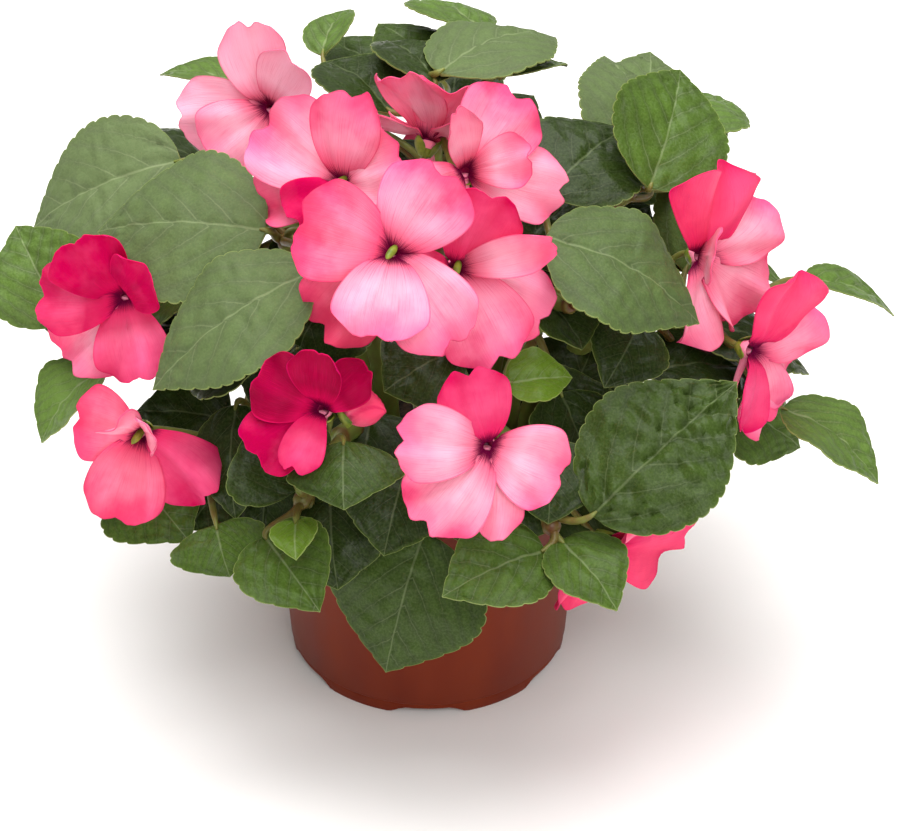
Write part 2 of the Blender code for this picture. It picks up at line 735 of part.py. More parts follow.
def stem_solid(shoot):
    """Return the stem's points and faces."""
    path = np.vstack((stem_foot(shoot), smooth_path(STEMS[shoot], STEM_RINGS)))
    radii = np.linspace(STEM_RADIUS, STEM_TIP_RADIUS, STEM_RINGS + 1)
    return tube(path, radii, STEM_SIDES)


class Growth:
    """What is placed so far, so that hidden growth goes where there is room for it."""

    def __init__(self):
        """Start with nothing placed."""
        self.owners = []
        self.stalks = []
        self.solids = []
        self.trees = []
        self.lows = np.empty((0, 3))
        self.highs = np.empty((0, 3))
        self.screen = None

    def add(self, owner, solid, stalk=False):
        """Place a solid of a node; a stalk may run through its own node's solids."""
        points, faces = solid
        self.owners.append(owner)
        self.stalks.append(stalk)
        self.solids.append(solid)
        self.trees.append(BVHTree.FromPolygons([tuple(point) for point in points], faces))
        self.lows = np.vstack((self.lows, np.min(points, axis=0)))
        self.highs = np.vstack((self.highs, np.max(points, axis=0)))

    def clear(self, owner, solid, stalk=False):
        """Tell whether a solid touches nothing that it may not run through."""
        points, faces = solid
        low, high = np.min(points, axis=0), np.max(points, axis=0)
        near = ((self.lows <= high) & (self.highs >= low)).all(axis=1)
        tree = BVHTree.FromPolygons([tuple(point) for point in points], faces)
        for i in np.flatnonzero(near):
            own = self.owners[i] == owner and (stalk or self.stalks[i])
            if not own and tree.overlap(self.trees[i]):
                return False
        return True

    def close_screen(self):
        """Take all that is placed so far as what hides the rest from the photograph."""
        points, faces = [], []
        for solid_points, solid_faces in self.solids:
            first = len(points)
            points += [tuple(point) for point in solid_points]
            faces += [tuple(first + k for k in face) for face in solid_faces]
        self.screen = BVHTree.FromPolygons(points, faces)

    def hides(self, point):
        """Tell whether something stands between the point and the photograph."""
        eye = VIEW_AIM - VIEW_INTO * VIEW_DISTANCE
        return self.screen.ray_cast(Vector(point), Vector(eye - point))[0] is not None

    def fills_gap(self, point):
        """Tell whether the point shows only through a gap between what is in front."""
        around = (VIEW_RIGHT, -VIEW_RIGHT, VIEW_UP, -VIEW_UP)
        return sum(self.hides(point + way * GAP_REACH) for way in around) >= 3

    def screened(self, points):
        """Tell whether all points are hidden or show only through gaps."""
        return all(self.hides(point) or self.fills_gap(point) for point in points)


def grow_hidden_blooms(growth, rng):
    """Return the blooms at the back, each at the first drawn place with room for it."""
    blooms = []
    for wish in HIDDEN_BLOOMS:
        petals = tuple(varied(petal, rng) for petal in EVEN_PETALS)
        for draw in range(HIDDEN_DRAWS):
            loose = 0.2 + draw / HIDDEN_DRAWS
            bearing = wish.bearing + rng.uniform(-24, 24) * loose
            reach = wish.reach + rng.uniform(-16, 8) * loose
            height = wish.height + rng.uniform(-26, 16) * loose
            centre = Place(*(direction(bearing, 0) * reach)[:2], height)
            bloom = Bloom(wish.name, wish.shoot, 0.8, centre, bearing + 90, rng.uniform(14, 40), petals)
            if bloom_fits(growth, bloom):
                blooms.append(bloom)
                place_bloom(growth, bloom)
                break
    return blooms


def varied(petal, rng):
    """Return a petal a little unlike the given one."""
    return replace(
        petal,
        angle=petal.angle + rng.uniform(-6, 6),
        length=petal.length * rng.uniform(0.92, 1.06),
        width=petal.width * rng.uniform(0.92, 1.08),
        lift=petal.lift + rng.uniform(-4, 12),
        curl=petal.curl + rng.uniform(-6, 4),
        cup=petal.cup + rng.uniform(-0.2, 0.3),
    )


def bloom_fits(growth, bloom):
    """Tell whether a bloom is out of sight and clear of all that is placed."""
    head = bloom_head(bloom)
    if not growth.hides(head.centre):
        return False
    solids = [head.out(solid) for solid in bloom_solids(bloom, PETAL_THICKNESS + 2 * TEST_MARGIN)]
    if not all(growth.hides(point) for points, faces in solids for point in points[::3]):
        return False
    if not all(growth.clear("bloom_" + bloom.name, solid) for solid in solids):
        return False
    stalk = head.pedicel(PEDICEL_RADIUS + TEST_MARGIN)
    return growth.clear("shoot_" + bloom.shoot, stalk, stalk=True)


def place_bloom(growth, bloom):
    """Place a bloom's solids and its stalk."""
    head = bloom_head(bloom)
    for solid in bloom_solids(bloom):
        growth.add("bloom_" + bloom.name, head.out(solid))
    growth.add("shoot_" + bloom.shoot, head.pedicel(), stalk=True)


def grow_hidden_leaves(growth, rng):
    """Return each shoot's hidden leaves, each at the first drawn place with room for it."""
    leaves = {shoot: [] for shoot in STEMS}
    for wish in HIDDEN_LEAVES:
        for j in range(wish.count):
            height = (j + 0.5) / wish.count
            turn = (j * 0.618034 + 0.3) % 1.0 * 2 - 1
            bearing = wish.bearing + turn * wish.spread
            for draw in range(HIDDEN_DRAWS):
                leaf = drawn_leaf(wish.shoot, height, bearing, draw / HIDDEN_DRAWS, rng)
                if leaf_fits(growth, wish.shoot, leaf):
                    leaves[wish.shoot].append(leaf)
                    place_leaf(growth, wish.shoot, leaf)
                    break
    return leaves


def drawn_leaf(shoot, height, bearing, loose, rng):
    """Return a leaf near the wished bearing, the further from it the looser the draw."""
    bearing = bearing + rng.uniform(-70, 70) * loose
    rise = -38 + 46 * height + rng.uniform(-8, 8) + rng.uniform(-24, 30) * loose
    stalk = 32 - 14 * height + rng.uniform(-16, 6) * (0.3 + 0.7 * loose)
    length = HIDDEN_LEAF * rng.uniform(0.94, 1.04) * (1 - 0.35 * loose)
    at = 0.5 + 0.45 * height
    start, along = stem_place(shoot, at)
    base = start + direction(bearing, rise + 29) * stalk
    tip = base + direction(bearing, rise) * length
    return Leaf(at, Place(*base), Place(*tip), 0.74 * length, fold=-0.08, wave=0.03, arch=0.12)


def leaf_fits(growth, shoot, leaf):
    """Tell whether a leaf is out of sight or in a gap, and clear of all that is placed."""
    base, tip = leaf.base.place(), leaf.tip.place()
    if tip[2] < LOWEST_TIP or not growth.screened((tip, (base + tip) / 2)):
        return False
    blade = Blade(leaf)
    solid = blade.solid(BLADE_THICKNESS + 2 * TEST_MARGIN)
    points = solid[0]
    stalk = blade.petiole(shoot, PETIOLE_RADIUS + TEST_MARGIN)
    return (growth.clear("shoot_" + shoot, solid)
            and growth.screened(points[:len(points) // 2])
            and growth.clear("shoot_" + shoot, stalk, stalk=True))


def place_leaf(growth, shoot, leaf):
    """Place a leaf's blade and stalk."""
    blade = Blade(leaf)
    growth.add("shoot_" + shoot, blade.solid())
    growth.add("shoot_" + shoot, blade.petiole(shoot), stalk=True)


def grow():
    """Return every shoot's leaves and all blooms, the photographed ones and the hidden."""
    growth = Growth()
    rng = np.random.default_rng(HIDDEN_SEED)
    for shoot in STEMS:
        growth.add("shoot_" + shoot, stem_solid(shoot), stalk=True)
        for leaf in LEAVES.get(shoot, ()):
            place_leaf(growth, shoot, leaf)
    for bloom in BLOOMS:
        place_bloom(growth, bloom)
    for bud in BUDS:
        growth.add("bud_" + bud.name, bud_head(bud).out(bud_solid(bud)))
        growth.add("shoot_" + bud.shoot, bud_head(bud).pedicel(), stalk=True)
    outer_wall = [(0, 0, 0), (0, 0, WALL_TOP), (0, 0, POT_HEIGHT)]
    growth.add("pot", tube(outer_wall, (FOOT_RADIUS, WALL_TOP_RADIUS, RIM_RADIUS), POT_SIDES))
    growth.close_screen()
    blooms = list(BLOOMS) + grow_hidden_blooms(growth, rng)
    hidden = grow_hidden_leaves(growth, rng)
    leaves = {shoot: list(LEAVES.get(shoot, ())) + hidden[shoot] for shoot in STEMS}
    return leaves, blooms


def make_material(name, colour, roughness):
    """Return a plain material of linear colour and roughness."""
    material = bpy.data.materials.new(name)
    material.use_nodes = True
    shader = material.node_tree.nodes["Principled BSDF"]
    shader.inputs["Base Color"].default_value = (*colour, 1.0)
    shader.inputs["Roughness"].default_value = roughness
    shader.inputs["Metallic"].default_value = 0.0
    return material


def add_object(name, solid, place=Matrix()):
    """Return a scene object of a solid given in mm about its own place."""
    points, faces = solid
    mesh = bpy.data.meshes.new(name)
    mesh.from_pydata([Vector(point) * MM for point in points], [], faces)
    shape = bmesh.new()
    shape.from_mesh(mesh)
    bmesh.ops.recalc_face_normals(shape, faces=shape.faces)
    shape.to_mesh(mesh)
    shape.free()
    made = bpy.data.objects.new(name, mesh)
    made.matrix_world = place
    bpy.context.scene.collection.objects.link(made)
    return made


def combined(body, pieces, operation):
    """Join the pieces to the body, or cut them from it, and remove them."""
    group = bpy.data.collections.new(body.name + "_pieces")
    bpy.context.scene.collection.children.link(group)
    for piece in pieces:
        bpy.context.scene.collection.objects.unlink(piece)
        group.objects.link(piece)
        piece.hide_render = True
        piece.display_type = "WIRE"
    change = body.modifiers.new(operation.lower(), "BOOLEAN")
    change.operation = operation
    change.operand_type = "COLLECTION"
    change.collection = group
    change.solver = "EXACT"
    graph = bpy.context.evaluated_depsgraph_get()
    plain = body.data
    body.data = bpy.data.meshes.new_from_object(body.evaluated_get(graph))
    body.modifiers.clear()
    bpy.data.meshes.remove(plain)
    for piece in pieces:
        shape = piece.data
        bpy.data.objects.remove(piece)
        bpy.data.meshes.remove(shape)
    bpy.data.collections.remove(group)
    body.data.name = body.name
    return body


def face_groups(shape):
    """Return the groups of faces that hang together across sides that just two faces share."""
    left = set(shape.faces)
    groups = []
    while left:
        first = left.pop()
        group, front = [first], [first]
        while front:
            for edge in front.pop().edges:
                if len(edge.link_faces) == 2:
                    found = [face for face in edge.link_faces if face in left]
                    left.difference_update(found)
                    group += found
                    front += found
        groups.append(group)
    return groups


def keep_largest_body(mesh):
    """Drop the scraps and sealed hollows that a union may leave beside the main body."""
    shape = bmesh.new()
    shape.from_mesh(mesh)
    bmesh.ops.remove_doubles(shape, verts=shape.verts, dist=WELD * MM)
    bmesh.ops.dissolve_degenerate(shape, edges=shape.edges, dist=WELD * MM)
    bmesh.ops.triangulate(shape, faces=shape.faces)
    groups = face_groups(shape)
    main_group = max(groups, key=len)
    scraps = [face for group in groups if group is not main_group for face in group]
    bmesh.ops.delete(shape, geom=scraps, context="FACES")
    shape.to_mesh(mesh)
    shape.free()


def fused(name, solids, material, place=Matrix()):
    """Return one object of the solids, joined into one body."""
    pieces = [add_object(f"{name}_piece_{k}", solid, place) for k, solid in enumerate(solids)]
    body = combined(pieces[0], pieces[1:], "UNION")
    body.name = name
    keep_largest_body(body.data)
    body.data.materials.clear()
    body.data.materials.append(material)
    return body


def turned(name, profile, sides):
    """Return an object turned about the Z axis from a profile of radii and heights."""
    shape = bmesh.new()
    verts = [shape.verts.new((radius * MM, 0.0, height * MM)) for radius, height in profile]
    edges = [shape.edges.new(pair) for pair in zip(verts, verts[1:])]
    bmesh.ops.spin(shape, geom=verts + edges, cent=(0, 0, 0), axis=(0, 0, 1),
                   angle=2 * math.pi, steps=sides, use_merge=True)
    bmesh.ops.remove_doubles(shape, verts=shape.verts, dist=0.00001)
    bmesh.ops.recalc_face_normals(shape, faces=shape.faces)
    mesh = bpy.data.meshes.new(name)
    shape.to_mesh(mesh)
    shape.free()
    made = bpy.data.objects.new(name, mesh)
    bpy.context.scene.collection.objects.link(made)
    return made


def notch_solid(turn):
    """Return the points and faces of a cutter for one notch in the foot."""
    slope = (NOTCH_FOOT_ANGLE - NOTCH_HEAD_ANGLE) / NOTCH_DEPTH
    corners = []
    for height in (-NOTCH_MARGIN, NOTCH_DEPTH):
        half = NOTCH_FOOT_ANGLE - slope * height
        for side, radius in ((-1, FOOT_INNER_RADIUS - NOTCH_MARGIN), (1, FOOT_INNER_RADIUS - NOTCH_MARGIN),
                             (1, FOOT_RADIUS + NOTCH_MARGIN), (-1, FOOT_RADIUS + NOTCH_MARGIN)):
            corners.append(direction(turn + side * half, 0) * radius + np.array((0, 0, height)))
    sides = [(k, (k + 1) % 4, (k + 1) % 4 + 4, k + 4) for k in range(4)]
    return corners, [(3, 2, 1, 0), (4, 5, 6, 7)] + sides


def make_pot(material):
    """Make the pot: a tapered wall, a rim band, and a foot ring with notches."""
    profile = (
        (0, FLOOR_UNDERSIDE),
        (FOOT_INNER_RADIUS - FOOT_EASE, FLOOR_UNDERSIDE),
        (FOOT_INNER_RADIUS, 0),
        (FOOT_RADIUS - FOOT_EASE, 0),
        (FOOT_RADIUS, FOOT_EASE),
        (FOOT_RADIUS, FOOT_BAND_TOP),
        (FOOT_RADIUS + FOOT_STEP, FOOT_BAND_TOP + FOOT_STEP),
        (WALL_TOP_RADIUS, WALL_TOP),
        (BAND_RADIUS, WALL_TOP + BAND_STEP),
        (RIM_RADIUS, POT_HEIGHT - RIM_ROUND),
        (RIM_RADIUS - RIM_ROUND, POT_HEIGHT),
        (RIM_INNER_RADIUS, POT_HEIGHT),
        (BAND_INNER_RADIUS, WALL_TOP + 2 * BAND_STEP),
        (WALL_TOP_INNER_RADIUS, WALL_TOP),
        (WALL_FOOT_INNER_RADIUS, FLOOR_TOP),
        (0, FLOOR_TOP),
    )
    pot = turned("pot", profile, POT_SIDES)
    cutters = []
    for k in range(NOTCH_COUNT):
        turn = k * 360 / NOTCH_COUNT - 90
        cutters.append(add_object(f"notch_{k}", notch_solid(turn)))
    for k in range(DRAIN_COUNT):
        spot = direction(k * 360 / DRAIN_COUNT, 0) * DRAIN_CIRCLE
        path = (spot, spot + np.array((0, 0, FLOOR_TOP + 1)))
        cutters.append(add_object(f"drain_{k}", tube(path, DRAIN_RADIUS, DRAIN_SIDES)))
    combined(pot, cutters, "DIFFERENCE")
    pot.data.materials.append(material)
    pot.data.shade_smooth()
    pot.data.set_sharp_from_angle(angle=math.radians(30))


def make_soil(material):
    """Make the soil: it fills the pot and has a plain hole for each stem."""
    slope = (WALL_TOP_INNER_RADIUS - WALL_FOOT_INNER_RADIUS) / (WALL_TOP - FLOOR_TOP)
    foot = FLOOR_TOP + CLEARANCE
    wall = WALL_FOOT_INNER_RADIUS - 2 * CLEARANCE
    shoulder = wall + slope * (WALL_TOP - FLOOR_TOP)
    profile = (
        (0, foot),
        (wall, foot),
        (shoulder, WALL_TOP),
        (shoulder, SOIL_EDGE),
        (shoulder * 0.8, SOIL_SHOULDER),
        (shoulder * 0.4, SOIL_CROWN),
        (0, SOIL_CROWN),
    )
    soil = turned("soil", profile, SOIL_SIDES)
    holes = []
    for shoot, points in STEMS.items():
        foot = np.array((points[0][0], points[0][1], HOLE_FLOOR))
        path = (foot, foot + np.array((0, 0, POT_HEIGHT - HOLE_FLOOR)))
        holes.append(add_object(f"hole_{shoot}", tube(path, HOLE_RADIUS, HOLE_SIDES)))
    combined(soil, holes, "DIFFERENCE")
    soil.data.materials.append(material)


def make_shoots(leaves, blooms, material):
    """Make each leafy shoot: its stem, leaf stalks, blades and flower stalks."""
    for shoot in STEMS:
        foot = stem_foot(shoot)
        solids = [stem_solid(shoot)]
        for leaf in leaves[shoot]:
            blade = Blade(leaf)
            solids += [blade.petiole(shoot), blade.solid()]
        solids += [bloom_head(bloom).pedicel() for bloom in blooms if bloom.shoot == shoot]
        solids += [bud_head(bud).pedicel() for bud in BUDS if bud.shoot == shoot]
        place = Matrix.Translation(Vector(foot) * MM)
        fused("shoot_" + shoot, [moved(solid, -foot) for solid in solids], material, place)


def make_blooms(blooms, pink, deep_pink):
    """Make each bloom and bud."""
    for bloom in blooms:
        material = deep_pink if bloom.deep else pink
        fused("bloom_" + bloom.name, bloom_solids(bloom), material, bloom_head(bloom).matrix())
    for bud in BUDS:
        made = add_object("bud_" + bud.name, bud_solid(bud), bud_head(bud).matrix())
        made.data.materials.append(pink)


def centre_on_box():
    """Hang every object from one empty that puts the whole box's centre over the origin."""
    bpy.context.view_layer.update()
    pieces = list(bpy.context.scene.objects)
    points = np.array([piece.matrix_world @ vert.co for piece in pieces for vert in piece.data.vertices])
    middle = (points.min(axis=0) + points.max(axis=0)) / 2
    plant = bpy.data.objects.new("plant", None)
    plant.location = (-middle[0], -middle[1], 0.0)
    bpy.context.scene.collection.objects.link(plant)
    for piece in pieces:
        piece.parent = plant


def main():
    """Clear the scene and make the potted plant."""
    for old in list(bpy.data.objects):
        bpy.data.objects.remove(old)
    leaves, blooms = grow()
    make_pot(make_material("terracotta_plastic", (0.31, 0.075, 0.035), 0.55))
    make_soil(make_material("potting_soil", (0.045, 0.03, 0.02), 0.95))
    make_shoots(leaves, blooms, make_material("leaf_green", (0.11, 0.23, 0.05), 0.6))
    pink = make_material("pink_petal", (0.85, 0.18, 0.3), 0.5)
    deep_pink = make_material("magenta_petal", (0.5, 0.01, 0.09), 0.5)
    make_blooms(blooms, pink, deep_pink)
    centre_on_box()


if __name__ == "__main__":
    main()
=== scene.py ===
"""A potted impatiens in bloom: its looks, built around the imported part.

Sizes are in millimetres from the centre of the pot's foot, and MM turns them to metres
where a mesh is made. Every blade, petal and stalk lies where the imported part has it.
"""

from __future__ import annotations

import logging
import math
from dataclasses import dataclass, field, replace
from enum import Enum
from typing import Any

import bmesh
import bpy
import numpy as np
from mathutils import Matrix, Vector
from mathutils.kdtree import KDTree

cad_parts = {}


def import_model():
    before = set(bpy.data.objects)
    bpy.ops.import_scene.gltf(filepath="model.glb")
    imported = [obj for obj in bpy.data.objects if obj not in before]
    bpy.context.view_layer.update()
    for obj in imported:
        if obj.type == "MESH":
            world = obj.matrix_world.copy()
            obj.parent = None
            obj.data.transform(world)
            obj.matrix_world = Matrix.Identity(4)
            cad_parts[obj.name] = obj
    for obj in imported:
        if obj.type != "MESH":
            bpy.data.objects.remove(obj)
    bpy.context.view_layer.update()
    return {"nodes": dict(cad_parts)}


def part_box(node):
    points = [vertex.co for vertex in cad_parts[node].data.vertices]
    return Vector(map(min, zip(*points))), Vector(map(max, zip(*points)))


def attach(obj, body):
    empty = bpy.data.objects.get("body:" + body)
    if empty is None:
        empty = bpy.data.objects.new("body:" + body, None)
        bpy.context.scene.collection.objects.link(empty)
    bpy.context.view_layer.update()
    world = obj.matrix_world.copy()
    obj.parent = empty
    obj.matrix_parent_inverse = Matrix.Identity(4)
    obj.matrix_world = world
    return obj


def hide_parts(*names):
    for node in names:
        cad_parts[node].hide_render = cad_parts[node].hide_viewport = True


LOG = logging.getLogger("impatiens")
MM = 0.001

# Where the photograph was taken from
VIEW_RISE = math.radians(34.0)
VIEW_DISTANCE = 1000.0
VIEW_FOCAL_PIXELS = 3144.0
PHOTO_WIDTH = 900.0
PHOTO_HEIGHT = 831.0
VIEW_AIM = np.array((7.2, 0.0, 85.8))
VIEW_RIGHT = np.array((1.0, 0.0, 0.0))
VIEW_UP = np.array((0.0, math.sin(VIEW_RISE), math.cos(VIEW_RISE)))
VIEW_INTO = np.array((0.0, math.cos(VIEW_RISE), -math.sin(VIEW_RISE)))
SENSOR = 36.0

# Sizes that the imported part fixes
HOLE_FLOOR = 62.3
STEM_STEPS = 40
BLADE_THICKNESS = 0.7
PETAL_THICKNESS = 0.6
PETAL_ROOT = 1.2
PETAL_WIDEST_AT = 0.76
PETAL_LAYER = 1.1
THROAT_BACK = 8.0
WIDEST_AT = 0.42
BASE_FULLNESS = 0.5
TIP_FULLNESS = 1.12
PETIOLE_SINK = 2.0

Points = np.ndarray
Faces = list[tuple[int, ...]]
Skins = dict["Skin", bpy.types.Material]


class Skin(Enum):
    """What a face of a mesh is made of."""

    LEAF_TOP = 0
    LEAF_UNDER = 1
    STEM = 2
    PETAL = 3
    THROAT = 4
    CAPSULE = 5


class Tint(Enum):
    """A petal's look: how deep its pink is, how coral, and how far its pale middle reaches."""

    ROSE = (0.42, 0.25, 0.60)
    CORAL = (0.52, 0.90, 0.35)
    SCARLET = (0.60, 1.00, 0.00)
    BLUSH = (0.26, 0.20, 0.85)
    PALE = (0.10, 0.50, 0.90)
    LILAC = (-0.25, 0.05, 1.00)
    FUCHSIA = (0.60, 0.00, 0.15)
    WINE = (0.76, 0.10, 0.05)
    DEEP = (1.30, 0.00, 0.00)
    CRIMSON = (2.00, 0.00, 0.00)


class Green(Enum):
    """A leaf's look: how light it is, how grey, and how young and yellow; its grey is partly a painted
    sheen.
    """

    # Greyness is partly the leaf's own sage tint and partly a painted sheen, greatest on the upper leaves
    MIST = (0.95, 1.00, 0.00)
    MEADOW = (0.90, 0.40, 0.10)
    SAGE = (0.46, 0.72, 0.00)
    # This darker copy of SAGE is painted shade for the mid-right leaf that lies in shade
    SHADED_SAGE = (0.32, 0.44, 0.00)
    GRASS = (0.60, 0.28, 0.03)
    FRESH = (0.38, 0.10, 0.05)
    DEEP = (0.21, 0.10, 0.02)
    DARK = (0.10, 0.04, 0.00)
    YOUNG = (0.50, 0.05, 0.50)


def unit(vector: np.ndarray) -> np.ndarray:
    """Return the vector, or each of an array of them, at length one."""
    return vector / np.maximum(np.linalg.norm(vector, axis=-1, keepdims=True), 1e-12)


def direction(bearing: float, rise: float) -> np.ndarray:
    """Return the direction at an angle from +X and above the level.

    Args:
        bearing: the angle from +X in degrees.
        rise: the angle above the level in degrees.

    Returns:
        The direction at length one.
    """
    a, r = math.radians(bearing), math.radians(rise)
    return np.array((math.cos(a) * math.cos(r), math.sin(a) * math.cos(r), math.sin(r)))


def smooth_path(points: Any, count: int) -> Points:
    """Return points spread along a smooth curve.

    Args:
        points: the points that the curve runs through.
        count: how many points to return.

    Returns:
        The curve's points.
    """
    points = np.array(points, float)
    points = np.vstack((2 * points[0] - points[1], points, 2 * points[-1] - points[-2]))
    spans = len(points) - 3
    path = []
    for i in range(count):
        place = i / (count - 1) * spans
        k = min(int(place), spans - 1)
        t = place - k
        a, b, c, d = points[k:k + 4]
        path.append(0.5 * (2 * b + (c - a) * t + (2 * a - 5 * b + 4 * c - d) * t * t
                           + (3 * b - a - 3 * c + d) * t ** 3))
    return np.array(path)


def bezier(start: Points, leave: Points, arrive: Points, end: Points, count: int) -> Points:
    """Return points along a cubic curve.

    Args:
        start: where the curve begins.
        leave: the handle that it leaves towards.
        arrive: the handle that it arrives from.
        end: where it ends.
        count: how many points to return.

    Returns:
        The curve's points.
    """
    t = np.linspace(0.0, 1.0, count)[:, None]
    return ((1 - t) ** 3 * start + 3 * (1 - t) ** 2 * t * leave
            + 3 * (1 - t) * t * t * arrive + t ** 3 * end)


def bump(distance: np.ndarray, width: float) -> np.ndarray:
    """Return a smooth hump of height one and about the width, at each distance from it."""
    return np.exp(-(distance / width) ** 2)


def ramp(value: np.ndarray, low: float, high: float) -> np.ndarray:
    """Return a smooth step from 0 at low to 1 at high."""
    t = np.clip((value - low) / (high - low), 0.0, 1.0)
    return t * t * (3 - 2 * t)


# Finishes


def linear(hex_colour: str) -> tuple[float, float, float, float]:
    """Turn an sRGB colour to linear light.

    Args:
        hex_colour: the colour as # and six hex digits.

    Returns:
        Its red, green and blue in linear light, and an alpha of one.
    """
    shares = [int(hex_colour[k:k + 2], 16) / 255 for k in (1, 3, 5)]
    low = [share / 12.92 if share <= 0.04045 else ((share + 0.055) / 1.055) ** 2.4 for share in shares]
    return (low[0], low[1], low[2], 1.0)


def feed(tree: Any, fed: Any, inputs: dict | tuple) -> None:
    """Set a node's inputs, or link them.

    Args:
        tree: the material's node tree.
        fed: the node.
        inputs: what goes into it, in the order of its inputs or by their name or number:
            values, sockets to link, and nodes, which stand for their result.
    """
    for key, value in inputs.items() if isinstance(inputs, dict) else enumerate(inputs):
        if isinstance(value, bpy.types.Node):
            # A colour mix gives its colour third, and every other node gives its result first
            value = value.outputs[2 if value.bl_idname == "ShaderNodeMix" else 0]
        if isinstance(value, bpy.types.NodeSocket):
            tree.links.new(value, fed.inputs[key])
        else:
            fed.inputs[key].default_value = value


def node(tree: Any, kind: str, inputs: dict | tuple = (), stops: Any = (), **settings: Any) -> Any:
    """Add a node to a material.

    Args:
        tree: the material's node tree.
        kind: the node's type, without its ShaderNode prefix.
        inputs: what goes into it, as feed takes it.
        stops: a colour ramp's places and hex colours.
        settings: the node's own settings.

    Returns:
        The new node.
    """
    made = tree.nodes.new("ShaderNode" + kind)
    for name, value in settings.items():
        setattr(made, name, value)
    feed(tree, made, inputs)
    for k, (place, colour) in enumerate(stops):
        if k > 1:
            made.color_ramp.elements.new(place)
        made.color_ramp.elements[k].position = place
        made.color_ramp.elements[k].color = linear(colour)
    return made


@dataclass(frozen=True)
class Finish:
    """A finish: what a surface is made of and how it was made, as one material."""

    name: str = "finish"

    def dress(self, tree: Any, shader: Any) -> None:
        """Add the finish's nodes and set its shader."""
        raise NotImplementedError

    def make(self) -> bpy.types.Material:
        """Make the finish into a material.

        Returns:
            The material.
        """
        material = bpy.data.materials.new(self.name)
        material.use_nodes = True
        self.dress(material.node_tree, material.node_tree.nodes["Principled BSDF"])
        return material


@dataclass(frozen=True)
class MouldedPolypropylene(Finish):
    """Injection-moulded polypropylene: satin, with fine mould grain and faint flow marks."""

    name: str = "moulded_polypropylene"
    body: str = "#6A2009"
    worn: str = "#7A2D12"
    # Real mould grain is about 0.1 mm, too fine to show, so it is drawn coarser
    grain_mm: float = 0.5
    flow_mm: float = 14.0
    flow_stretch: float = 4.0

    def dress(self, tree: Any, shader: Any) -> None:
        """Flow marks mottle the colour, and the mould's grain breaks the highlight up.

        Args:
            tree: the material's node tree.
            shader: its Principled BSDF.
        """
        place = node(tree, "TexCoord").outputs["Object"]
        stretched = node(tree, "Mapping", {"Vector": place, "Scale": (1.0, 1.0, 1 / self.flow_stretch)})
        flow = node(tree, "TexNoise", {"Vector": stretched, "Scale": 1000 / self.flow_mm, "Detail": 5.0})
        grain = node(tree, "TexNoise", {"Vector": place, "Scale": 1000 / self.grain_mm, "Detail": 2.0})
        shade = node(tree, "ValToRGB", {"Fac": flow}, stops=((0.3, self.body), (0.75, self.worn)))
        gloss = node(tree, "MapRange", (flow, 0.3, 0.7, 0.38, 0.5))
        relief = node(tree, "Bump", {"Height": grain, "Strength": 0.12, "Distance": 0.0002})
        feed(tree, shader, {"Base Color": shade, "Roughness": gloss, "Normal": relief, "IOR": 1.49,
                            "Specular IOR Level": 0.15})


@dataclass(frozen=True)
class PottingMix(Finish):
    """Peat-based potting mix: dark damp crumbs with a few white specks of perlite."""

    name: str = "potting_mix"
    damp: str = "#1E140E"
    dry: str = "#4A3526"
    perlite: str = "#D9D4C8"
    crumb_mm: float = 2.2
    speck_mm: float = 4.0

    def dress(self, tree: Any, shader: Any) -> None:
        """Crumbs set the colour and relief, and sparse cells turn white for the perlite.

        Args:
            tree: the material's node tree.
            shader: its Principled BSDF.
        """
        place = node(tree, "TexCoord").outputs["Object"]
        crumbs = node(tree, "TexNoise", {"Vector": place, "Scale": 1000 / self.crumb_mm, "Detail": 6.0})
        specks = node(tree, "TexVoronoi", {"Vector": place, "Scale": 1000 / self.speck_mm})
        near = node(tree, "MapRange", (specks, 0.14, 0.2, 1.0, 0.0))
        rare = node(tree, "Math", (specks.outputs["Color"], 0.86), operation="GREATER_THAN")
        white = node(tree, "Math", (near, rare), operation="MULTIPLY")
        earth = node(tree, "ValToRGB", {"Fac": crumbs}, stops=((0.35, self.damp), (0.72, self.dry)))
        colour = node(tree, "Mix", {0: white, 6: earth, 7: linear(self.perlite)}, data_type="RGBA")
        relief = node(tree, "Bump", {"Height": crumbs, "Strength": 0.8, "Distance": 0.001})
        feed(tree, shader, {"Base Color": colour, "Normal": relief, "Roughness": 0.92})


